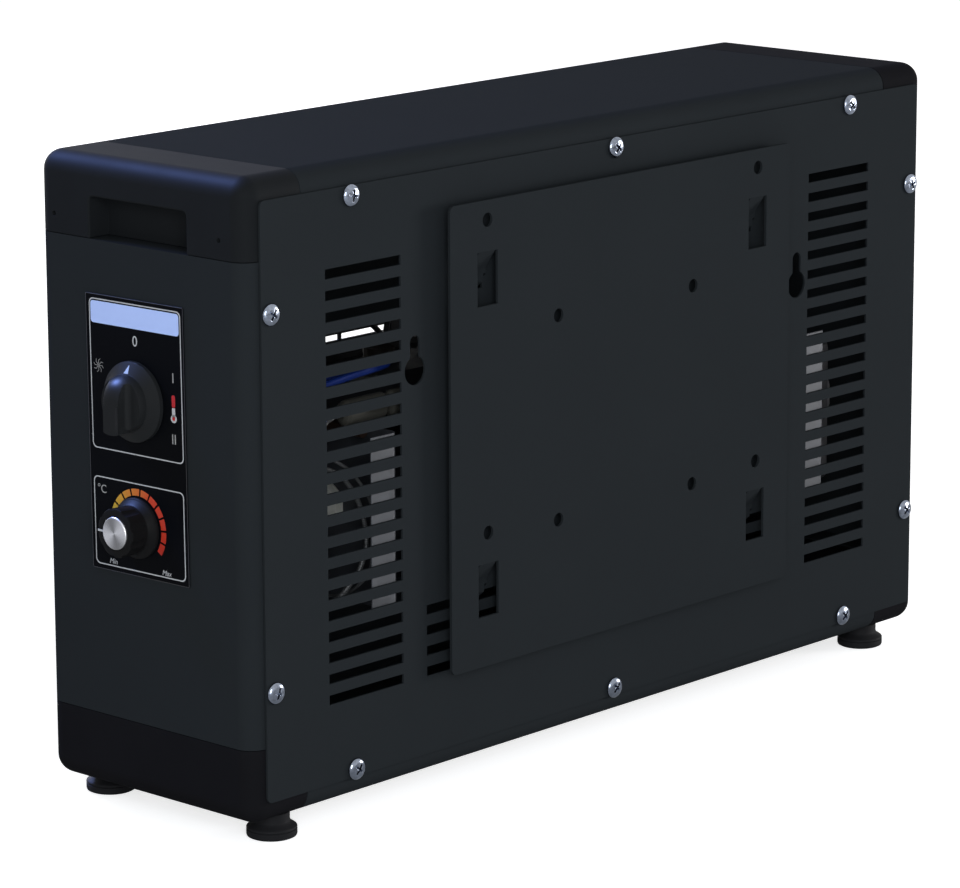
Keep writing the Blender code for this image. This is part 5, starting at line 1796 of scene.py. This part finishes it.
WHITE_SIGNS = (
    Sign("mark_off", "0", -0.0023, 0.2291, 0.0070),
    Sign("mark_least", "Min", -0.0207, 0.1236, 0.0036, 0.25),
    Sign("mark_most", "Max", 0.0148, 0.1234, 0.0036, 0.25),
)
SOFT_SIGNS = (
    Sign("mark_low", "I", 0.0222, 0.2152, 0.0066),
    Sign("mark_high", "II", 0.0219, 0.1868, 0.0066),
    Sign("mark_degrees", "°C", -0.0270, 0.1570, 0.0056),
)


@dataclass
class ControlLabel(Assembly):
    """The label behind the knobs: black film, pale outlines, scales and generic signs."""

    casing: Casing = field(default_factory=Casing)
    sheet: Patch = ((-0.0346, 0.1189), (0.0296, 0.2485))
    sheet_corner: float = 0.0008
    film: float = 0.0005
    ink: float = 0.00004
    centre_y: float = -0.0033
    switch_z: float = 0.2014
    dial_z: float = 0.1420
    bore: float = 0.0049
    middle: tuple[float, float] = (-0.0025, 0.1837)
    askew: float = 0.6
    edge_inset: float = 0.0001
    edge_corner: float = 0.0007
    edge_line: float = 0.0002
    upper_frame: Patch = ((-0.0323, 0.1762), (0.0279, 0.2465))
    lower_frame: Patch = ((-0.0324, 0.1212), (0.0274, 0.1630))
    frame_corner: float = 0.0026
    frame_line: float = 0.00054
    band: Patch = ((-0.0313, 0.2350), (0.0267, 0.2453))
    band_corner: float = 0.0016
    bulb: tuple[float, float] = (0.0221, 0.1966)
    bulb_radius: float = 0.0019
    drop_radius: float = 0.0009
    bulb_neck: Patch = ((0.0211, 0.1966), (0.0231, 0.2016))
    column: Patch = ((0.0210, 0.2018), (0.0232, 0.2075))
    fan: tuple[float, float] = (-0.0269, 0.2152)
    fan_blades: int = 8
    fan_stem: Patch = ((-0.00011, 0.0003), (0.00011, 0.0025))
    fan_hook: Patch = ((-0.00011, 0.0), (0.00011, 0.0013))
    fan_hook_place: float = 0.0024
    fan_hook_turn: float = -55.0
    scale_radii: tuple[float, float] = (0.0152, 0.0184)
    scale_fields: int = 12
    scale_pitch: float = 20.35
    scale_gap: float = 0.0009
    scale_turn: float = 5.5
    film_edge: float = 0.00006

    @property
    def face(self) -> float:
        """Where the ink lies."""
        return self.casing.half_x + self.casing.gap + self.film

    def build(self) -> None:
        """Cuts the film and prints everything on it."""
        back = self.casing.half_x + self.casing.gap
        film = self.tile("label_film_sheet", self.sheet, self.sheet_corner, back, self.face)
        bores = [
            Bench.drum("bore", (back, self.centre_y, z), self.bore, 0.004, Axis.X, 36)
            for z in (self.switch_z, self.dial_z)
        ]
        Bench.combine(film, "DIFFERENCE", *bores)
        Bench.soften(film, self.film_edge, 1)
        self.stick(film, LABEL, ["control_label"])
        self.outlines()
        self.signs()
        self.scale()

    def stick(self, piece: bpy.types.Object, finish: Finish, stands_for: Sequence[str] = ()) -> None:
        """Turns a piece a little with the whole label, as it was stuck on, and dresses it.

        Args:
            piece: The film or a print.
            finish: Its finish.
            stands_for: Nodes of the frame that it replaces.
        """
        centre = Matrix.Translation((0, *self.middle))
        turn = Matrix.Rotation(math.radians(self.askew), 4, "X")
        piece.data.transform(centre @ turn @ centre.inverted())
        self.dress(piece, finish, stands_for=stands_for)

    def tile(self, name: str, patch: Patch, corner: float, back: float, face: float) -> bpy.types.Object:
        """A flat tile on the end wall with rounded corners.

        Args:
            name: Name of the piece.
            patch: Its outline.
            corner: Radius of its corners.
            back: Where its back lies along X.
            face: Where its face lies along X.

        Returns:
            The tile.
        """
        piece = Bench.block(name, (back, *patch[0]), (face, *patch[1]))
        if corner:
            Bench.round_edges(piece, corner, 5, edges(0))
        return piece

    def printed(self, name: str, patch: Patch, corner: float) -> bpy.types.Object:
        """A filled patch of ink."""
        return self.tile(name, patch, corner, self.face - self.ink / 2, self.face + self.ink)

    def ring(self, name: str, patch: Patch, corner: float, line: float) -> bpy.types.Object:
        """An outline of ink.

        Args:
            name: Name of the piece.
            patch: Its outer outline.
            corner: Radius of its corners.
            line: Width of the line.

        Returns:
            The outline.
        """
        piece = self.printed(name, patch, corner)
        (left, low), (right, high) = patch
        inner = ((left + line, low + line), (right - line, high - line))
        hole = self.tile("hole", inner, corner - line / 2, self.face - 0.001, self.face + 0.001)
        Bench.combine(piece, "DIFFERENCE", hole)
        return piece

    def words(self, sign: Sign) -> bpy.types.Object:
        """A generic word or number, made a mesh before it is placed.

        Args:
            sign: What is printed, and where.

        Returns:
            The text as a mesh.
        """
        Bench.clear()
        bpy.ops.object.text_add()
        text = bpy.context.active_object.data
        text.body = sign.text
        text.size = sign.size
        text.align_x = "CENTER"
        text.align_y = "CENTER"
        text.shear = sign.lean
        text.extrude = self.ink / 2
        text.resolution_u = 4
        bpy.ops.object.convert(target="MESH")
        piece = bpy.context.active_object
        piece.name = piece.data.name = sign.name
        turn = Matrix(((0, 0, 1, 0), (1, 0, 0, 0), (0, 1, 0, 0), (0, 0, 0, 1)))
        piece.data.transform(Matrix.Translation((self.face + self.ink / 2, sign.y, sign.z)) @ turn)
        return piece

    def outlines(self) -> None:
        """The pale edge, the two frames and the bare band at the top."""
        (left, low), (right, high) = self.sheet
        inset = self.edge_inset
        border = ((left + inset, low + inset), (right - inset, high - inset))
        self.stick(self.ring("label_edge", border, self.edge_corner, self.edge_line), GREY_INK)
        frames = [
            self.ring("upper_frame", self.upper_frame, self.frame_corner, self.frame_line),
            self.ring("lower_frame", self.lower_frame, self.frame_corner, self.frame_line),
        ]
        self.stick(Bench.join("label_frames", frames), INK)
        self.stick(self.printed("label_band", self.band, self.band_corner), BAND)

    def signs(self) -> None:
        """The numbers round the switch, the words of the dial, the fan and the thermometer."""
        white = [self.words(sign) for sign in WHITE_SIGNS]
        soft = [self.words(sign) for sign in SOFT_SIGNS]
        self.stick(Bench.join("label_pale_signs", soft + self.fan_sign()), SOFT_INK)
        bulb = Bench.drum("bulb", (self.face, *self.bulb), self.bulb_radius, 2 * self.ink, Axis.X, 28)
        white += [bulb, self.printed("bulb_neck", self.bulb_neck, 0.0003)]
        self.stick(Bench.join("label_signs", white), INK)
        stem = self.printed("thermometer_column", self.column, 0.0009)
        place = (self.face + self.ink, *self.bulb)
        drop = Bench.drum("drop", place, self.drop_radius, 2 * self.ink, Axis.X, 24)
        self.stick(Bench.join("thermometer_red", [stem, drop]), RED_INK)

    def fan_sign(self) -> list[bpy.types.Object]:
        """The hooked blades of the fan sign.

        Returns:
            The blades.
        """
        stem = self.printed("blade", self.fan_stem, 0.0)
        hook = self.printed("hook", self.fan_hook, 0.0)
        turn = Matrix.Rotation(math.radians(self.fan_hook_turn), 4, "X")
        hook.data.transform(Matrix.Translation((0, 0, self.fan_hook_place)) @ turn)
        blade = Bench.join("blade", [stem, hook])
        hub = Matrix.Translation((0, *self.fan))
        turns = [Matrix.Rotation(math.tau * i / self.fan_blades, 4, "X") for i in range(self.fan_blades)]
        blades = Bench.copies(blade, [hub @ turn for turn in turns])
        bpy.data.objects.remove(blade, do_unlink=True)
        return blades

    def scale(self) -> None:
        """The arc of fields round the dial."""
        (inner, outer), fields, pitch = self.scale_radii, self.scale_fields, math.radians(self.scale_pitch)
        width = pitch - self.scale_gap / inner
        segment = Bench.lathe("heat_field", [(inner, 0.0), (outer, 0.0)], (0, 0, 0), (1, 0, 0), 6, width)
        Bench.face_toward(segment, Vector((1, 0, 0)))
        Bench.thicken(segment, 2 * self.ink, 0.0)
        points = [vertex.co for vertex in segment.data.vertices]
        middle = sum(points, Vector()) / len(points)
        home = math.atan2(middle.z, middle.y)
        centre = Matrix.Translation((self.face, self.centre_y, self.dial_z))
        places = []
        for i in range(fields):
            target = math.pi / 2 - math.radians(self.scale_turn) + (i - (fields - 1) / 2) * pitch
            places.append(centre @ Matrix.Rotation(target - home, 4, "X"))
        arc = Bench.spread("heat_scale", segment, places)
        axis = (self.centre_y + FRAME_SHIFT.y, self.dial_z)
        ink = HeatInk("heat_ink", "label_black", (0.5, 0.2, 0.02), specular=0.2, centre=axis)
        self.stick(arc, ink)


@dataclass
class BlowerEnds(Assembly):
    """The blower's two end plates with their flanges, and the lip that seals the duct to the casing."""

    web: float = 0.151
    sheet: float = 0.001
    half_y: float = 0.0682
    low: float = 0.095
    high: float = 0.1812
    edge: dict[End, float] = field(default_factory=lambda: {End.CONTROL: 0.1698, End.PLAIN: 0.166})
    bend: dict[End, float] = field(default_factory=lambda: {End.CONTROL: 0.0045, End.PLAIN: 0.0012})
    axis: tuple[float, float] = (0.022, 0.140)
    bearing_hole: float = 0.008
    shaft_hole: float = 0.007
    bolt_hole: float = 0.0023
    bolt_spread: float = 0.022
    lip_y: tuple[float, float] = (-0.0612, -0.0563)
    lip_z: tuple[float, float] = (0.1836, 0.1872)

    def build(self) -> None:
        """Bends both plates and the lip."""
        for end in End:
            self.plate(end)
        self.lip()

    def plate(self, end: End) -> None:
        """Bends one end plate and drills it for its bearing or its motor.

        Args:
            end: Which end.
        """
        web, edge = end.value * self.web, end.value * self.edge[end]
        corners = [(edge, -self.half_y), (web, -self.half_y), (web, self.half_y), (edge, self.half_y)]
        piece = Bench.chain(f"blower_plate_{end.word}", [(x, y, self.low) for x, y in corners])
        with Bench.edit(piece, Element.EDGES):
            rise = {"value": (0, 0, self.high - self.low)}
            bpy.ops.mesh.extrude_region_move(TRANSFORM_OT_translate=rise)
        Bench.face_toward(piece, Vector((0, -1, 0)))
        Bench.round_edges(piece, self.bend[end], 6, edges(2, x=web))
        Bench.thicken(piece, self.sheet)
        reach = 4 * self.sheet
        y, z = self.axis
        if end is End.CONTROL:
            holes = [Bench.drum("hole", (web, y, z), self.bearing_hole, reach, Axis.X, 40)]
        else:
            holes = [Bench.drum("hole", (web, y, z), self.shaft_hole, reach, Axis.X, 40)]
            for side in (-1, 1):
                place = (web, y + side * self.bolt_spread, z)
                holes.append(Bench.drum("bolt_hole", place, self.bolt_hole, reach, Axis.X, 20))
        Bench.combine(piece, "DIFFERENCE", *holes)
        Bench.soften(piece, 0.00025, 1)
        node = "blower_end_control" if end is End.CONTROL else "blower_end_motor"
        self.dress(piece, GALVANISED, stands_for=[node])

    def lip(self) -> None:
        """The soft lip along the duct's upper front edge that closes the gap to the front panel."""
        reach = self.web - 2 * self.sheet
        low, high = (-reach, self.lip_y[0], self.lip_z[0]), (reach, self.lip_y[1], self.lip_z[1])
        piece = Bench.block("duct_seal", low, high)
        Bench.round_edges(piece, 0.001, 3, edges(0))
        self.dress(piece, RUBBER)


@dataclass
class HeatingElement(Assembly):
    """The element behind the guard: heater bars with corrugated fins soldered between them."""

    front: float = -0.0529
    depth: float = 0.02399
    fin_depth_share: float = 0.5833
    half_length: float = 0.1399
    low: float = 0.1006
    high: float = 0.1794
    bar: float = 0.008
    rows: int = 4
    pitch: float = 0.0029
    foil: float = 0.00025
    crease: float = 0.0002
    overhang: float = 0.0003

    def build(self) -> None:
        """Folds one strip of fins, copies it, and lays the bars between."""
        middle = self.front + self.depth / 2
        half = self.depth * self.fin_depth_share / 2
        height = (self.high - self.low - (self.rows - 1) * self.bar) / self.rows
        steps = int(self.half_length * 2 / self.pitch)
        pitch = self.half_length * 2 / steps
        crease, near = self.crease, middle - half
        points = []
        for i in range(steps):
            start = -self.half_length + i * pitch
            points += [(start + crease, near, 0.0), (start + pitch / 2 - crease, near, 0.0)]
            points += [(start + pitch / 2 + crease, near, height), (start + pitch - crease, near, height)]
        strip = Bench.chain("fin_strip", points)
        with Bench.edit(strip, Element.EDGES):
            bpy.ops.mesh.extrude_region_move(TRANSFORM_OT_translate={"value": (0, 2 * half, 0)})
        Bench.thicken(strip, self.foil, 0.0)
        rise = height + self.bar
        places = [Matrix.Translation((0, 0, self.low + row * rise)) for row in range(self.rows)]
        fins = Bench.spread("element_fins", strip, places)
        self.dress(fins, FOIL, stands_for=["element_core"])
        reach = self.half_length + self.overhang
        bars = []
        for row in range(1, self.rows):
            top = self.low + row * rise
            low = (-reach, near, top - self.bar + self.foil)
            bars.append(Bench.block("bar", low, (reach, middle + half, top - self.foil)))
        whole = Bench.join("element_bars", bars)
        Bench.soften(whole, 0.0012, 3)
        self.dress(whole, CAST)


@dataclass(frozen=True)
class Lead:
    """A wire: its radius, its finish, the nodes it replaces and the points it passes."""

    name: str
    radius: float
    finish: Finish
    stands_for: tuple[str, ...]
    route: tuple[tuple[float, float, float], ...]


SLIM_RADIUS = 0.0008
LEADS = (
    Lead(
        "live_lead", 0.0012, BROWN, ("wire_live",),
        (
            (0.192, 0.030, 0.0302), (0.210, 0.042, 0.060), (0.219, 0.048, 0.110),
            (0.2175, 0.040, 0.160), (0.2145, 0.020, 0.184), (0.2124, 0.0087, 0.190),
        ),
    ),
    Lead(
        "neutral_lead", 0.0018, BLUE, ("wire_neutral",),
        (
            (0.180, 0.030, 0.0302), (0.206, 0.040, 0.048), (0.222, 0.048, 0.085), (0.223, 0.052, 0.160),
            (0.215, 0.057, 0.200), (0.200, 0.058, 0.2062), (0.187, 0.058, 0.2078), (0.176, 0.0575, 0.2088),
            (0.165, 0.0565, 0.2094), (0.153, 0.055, 0.2096), (0.140, 0.050, 0.2090), (0.130, 0.036, 0.2050),
            (0.135, 0.010, 0.196), (0.165, -0.010, 0.196), (0.195, -0.004, 0.206), (0.2124, 0.0087, 0.214),
        ),
    ),
    Lead(
        "element_low_lead", 0.0012, SLEEVE, ("wire_element_low",),
        (
            (0.2118, -0.0033, 0.190), (0.205, 0.030, 0.180), (0.190, 0.053, 0.1695),
            (0.1792, 0.056, 0.1641), (0.1733, 0.056, 0.1588), (0.1668, 0.056, 0.1501),
            (0.1625, 0.056, 0.1397), (0.1608, 0.056, 0.1300), (0.1625, 0.056, 0.1216),
            (0.1687, 0.055, 0.1117), (0.176, 0.045, 0.100), (0.166, -0.010, 0.084), (0.1545, -0.042, 0.104),
        ),
    ),
    Lead(
        "element_high_lead", SLIM_RADIUS, SLEEVE, ("wire_element_high",),
        (
            (0.2118, -0.0153, 0.190), (0.205, 0.030, 0.186), (0.188, 0.054, 0.1745),
            (0.1756, 0.058, 0.1665), (0.1682, 0.058, 0.1595), (0.1618, 0.0585, 0.1506),
            (0.1596, 0.0585, 0.1440), (0.1592, 0.058, 0.1370), (0.1607, 0.0595, 0.1272),
            (0.162, 0.057, 0.112), (0.160, 0.030, 0.098), (0.158, -0.020, 0.106), (0.1545, -0.042, 0.130),
        ),
    ),
    Lead(
        "guard_spring", 0.0015, GRILLE, (),
        (
            (0.0345, -0.0612, 0.1972), (0.0325, -0.0610, 0.1960), (0.0282, -0.0608, 0.1918),
            (0.0263, -0.0606, 0.1896), (0.0243, -0.0608, 0.1918), (0.0229, -0.0610, 0.1960),
            (0.0222, -0.0612, 0.1972),
        ),
    ),
)


@dataclass
class Wiring(Assembly):
    """The wires behind the louvres at the control end, and the sleeved joint between two of them."""

    smooth: int = 8
    tail_sags: tuple[float, float] = (0.0, 0.0022)
    tail_sway: float = 0.001
    joint_start: Place = (0.0, 0.0565, 0.1921)
    joint_flatness: float = 0.68

    def build(self) -> None:
        """Lays every wire along its route and slips the sleeve over the joint."""
        for lead in LEADS:
            self.wire(lead)
        for number, sag in enumerate(self.tail_sags, 1):
            self.wire(self.tail(number, sag))
        self.joint()

    def tail(self, number: int, sag: float) -> Lead:
        """One of the two wire ends that run into the joint.

        Args:
            number: 1 or 2; the second one sways the other way.
            sag: How much higher it starts.

        Returns:
            The wire end.
        """
        sway = self.tail_sway if number == 1 else -self.tail_sway
        route = (
            (0.212, 0.030, 0.186 + sag), (0.200, 0.052, 0.1875 + sag), (0.190, 0.057 + sway, 0.1892),
            (0.185, 0.057 - sway, 0.1912), (0.180, 0.057 + sway, 0.1918), (0.172, 0.057, 0.1928),
        )
        return Lead(f"joint_tail_{number}", SLIM_RADIUS, SLEEVE, (), route)

    def joint(self) -> None:
        """The flat sleeve over the joint, nipped near its far end."""
        stations = [
            (0.0034, 0.1345), (0.0056, 0.1356), (0.0063, 0.1380), (0.0063, 0.1448), (0.0050, 0.1470),
            (0.0050, 0.1484), (0.0063, 0.1508), (0.0063, 0.1742), (0.0056, 0.1765), (0.0036, 0.1778),
        ]
        profile = [(0.0, stations[0][1]), *stations, (0.0, stations[-1][1])]
        piece = Bench.lathe("joint_sleeve", profile, self.joint_start, (1, 0, 0), 32)
        with Bench.edit(piece, Element.VERTS):
            flat = (1, self.joint_flatness, 1)
            bpy.ops.transform.resize(value=flat, center_override=self.joint_start)
        self.dress(piece, SHRINK)

    def wire(self, lead: Lead) -> None:
        """Draws one wire as a smooth tube through its points.

        Args:
            lead: The wire.
        """
        ends = [Vector(lead.route[0]), *map(Vector, lead.route), Vector(lead.route[-1])]
        points = []
        for before, first, second, after in zip(ends, ends[1:], ends[2:], ends[3:]):
            for step in range(self.smooth):
                t = step / self.smooth
                bend = 2 * before - 5 * first + 4 * second - after
                twist = 3 * first - before - 3 * second + after
                points.append(first + ((second - before) * t + bend * t * t + twist * t * t * t) / 2)
        points.append(ends[-1])
        piece = Bench.chain(lead.name, points)
        Bench.pick(piece)
        bpy.ops.object.convert(target="CURVE")
        curve = bpy.context.active_object.data
        curve.bevel_depth = lead.radius
        curve.bevel_resolution = 3
        curve.use_fill_caps = True
        bpy.ops.object.convert(target="MESH")
        self.dress(bpy.context.active_object, lead.finish, stands_for=lead.stands_for)


@dataclass
class InnerParts(Assembly):
    """The nodes of the frame that stay and only get their finish."""

    finishes: dict[str, Finish] = field(default_factory=lambda: dict(INNER_FINISHES))

    def build(self) -> None:
        """Dresses each node."""
        for name, finish in self.finishes.items():
            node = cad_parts[name]
            for slot in node.material_slots:
                slot.material = finish.make()
            self.made.append(node)


@dataclass(frozen=True)
class Lamp:
    """A square soft lamp aimed at the object; one of shine only shows as a shine on smooth surfaces."""

    name: str
    place: tuple[float, float, float]
    side: float
    watts: float
    colour: tuple[float, float, float] = (1.0, 1.0, 1.0)
    shine: bool = False


LAMPS = (
    Lamp("key_lamp", (-1.9, 1.22, 0.22), 0.7, 31.0),
    Lamp("camera_lamp", (1.5, 1.55, 0.75), 1.0, 28.0, (0.90, 0.95, 1.0)),
    Lamp("front_lamp", (-0.6, -2.2, 0.5), 1.4, 22.0),
    Lamp("sky_lamp", (0.55, -1.65, 1.95), 0.6, 430.0, (0.24, 0.37, 1.0), True),
    Lamp("warm_lamp", (-1.6, 1.3, 0.12), 0.5, 1.5, (1.0, 0.72, 0.56)),
)


@dataclass
class Studio:
    """Floor, soft lamps, world and camera."""

    fill: float = 0.36
    floor_size: float = 14.0
    floor_glow: float = 0.72
    aim: Place = (0.0, 0.0, 0.15)
    camera_place: Place = (1.59433, 1.44054, 0.63073)
    right: Place = (-0.67226, 0.74031, -0.00313)
    up: Place = (-0.16116, -0.14221, 0.97663)
    back: Place = (0.72257, 0.65705, 0.21491)
    focal: float = 4435.0
    sensor_width: float = 36.0
    view_depth: float = 30.0
    frame_width: float = 960.0
    frame_height: float = 888.0
    principal: tuple[float, float] = (489.59, 411.23)

    def build(self) -> None:
        """Sets up everything round the object."""
        self.floor()
        self.world()
        for lamp in LAMPS:
            self.light(lamp)
        self.camera()
        bpy.context.scene.view_settings.view_transform = "Standard"

    def floor(self) -> None:
        """A wide pale floor that shows white to the camera and keeps the object's shadow."""
        Bench.clear()
        bpy.ops.mesh.primitive_plane_add(size=self.floor_size, location=(0, 0, 0))
        floor = Bench.named("studio_floor")
        recipe = Recipe("studio_floor_paint")
        recipe.feed("Base Color", (0.86, 0.86, 0.87, 1.0))
        recipe.feed("Roughness", 0.9)
        recipe.feed("Specular IOR Level", 0.0)
        path = recipe.tree.nodes.new("ShaderNodeLightPath")
        seen = Signal(recipe.tree, path.outputs["Is Camera Ray"])
        white = {"Color": (1.0, 1.0, 1.0, 1.0), "Strength": self.floor_glow}
        glow = recipe.node("ShaderNodeEmission", inputs=white)
        paint = Signal(recipe.tree, recipe.shader.outputs[0])
        both = recipe.node("ShaderNodeAddShader", inputs={0: paint, 1: glow})
        mixed = recipe.node("ShaderNodeMixShader", inputs={0: seen, 1: paint, 2: both})
        recipe.tree.links.new(mixed.socket, recipe.tree.nodes["Material Output"].inputs["Surface"])
        floor.data.materials.append(recipe.material)

    def world(self) -> None:
        """An even sky: white to the camera and to mirrors, softer as light on the object."""
        world = bpy.data.worlds.new("studio_sky")
        world.use_nodes = True
        tree = world.node_tree
        sky = tree.nodes["Background"]
        path = tree.nodes.new("ShaderNodeLightPath")
        seen = Signal(tree, path.outputs["Is Camera Ray"]) + Signal(tree, path.outputs["Is Glossy Ray"])
        seen = seen + Signal(tree, path.outputs["Is Transmission Ray"])
        strength = (seen > 0.5) * (1.0 - self.fill) + self.fill
        sky.inputs["Color"].default_value = (1.0, 1.0, 1.0, 1.0)
        tree.links.new(strength.socket, sky.inputs["Strength"])
        bpy.context.scene.world = world

    def light(self, lamp: Lamp) -> None:
        """Sets up one lamp.

        Args:
            lamp: The lamp.
        """
        Bench.clear()
        bpy.ops.object.light_add(type="AREA", location=lamp.place)
        light = bpy.context.active_object
        light.name = lamp.name
        light.data.size = lamp.side
        light.data.energy = lamp.watts
        light.data.color = lamp.colour
        light.visible_diffuse = not lamp.shine
        away = Vector(self.aim) - Vector(lamp.place)
        light.rotation_euler = away.to_track_quat("-Z", "Y").to_euler()

    def camera(self) -> None:
        """The camera at the photograph's angle."""
        data = bpy.data.cameras.new("camera")
        camera = bpy.data.objects.new("camera", data)
        bpy.context.scene.collection.objects.link(camera)
        turn = Matrix((self.right, self.up, self.back)).transposed().to_4x4()
        camera.matrix_world = Matrix.Translation(self.camera_place) @ turn
        data.sensor_width = self.sensor_width
        data.lens = self.focal / self.frame_width * data.sensor_width
        data.shift_x = (self.frame_width / 2 - self.principal[0]) / self.frame_width
        data.shift_y = (self.principal[1] - self.frame_height / 2) / self.frame_width
        data.clip_end = self.view_depth
        bpy.context.scene.camera = camera


def main() -> None:
    """Builds every sub-assembly in order."""
    logging.basicConfig(level=logging.INFO, format="%(name)s %(message)s")
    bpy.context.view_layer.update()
    parts: list[Assembly] = [
        BentSheets(),
        CornerMouldings(),
        Panels(),
        HookPlate(),
        Feet(),
        Screws(),
        ControlLabel(),
        SwitchKnob(),
        ThermostatKnob(),
        BlowerEnds(),
        Wiring(),
        HeatingElement(),
        InnerParts(),
    ]
    for part in parts:
        part.build()
        part.report()
    Studio().build()


if __name__ == "__main__":
    main()
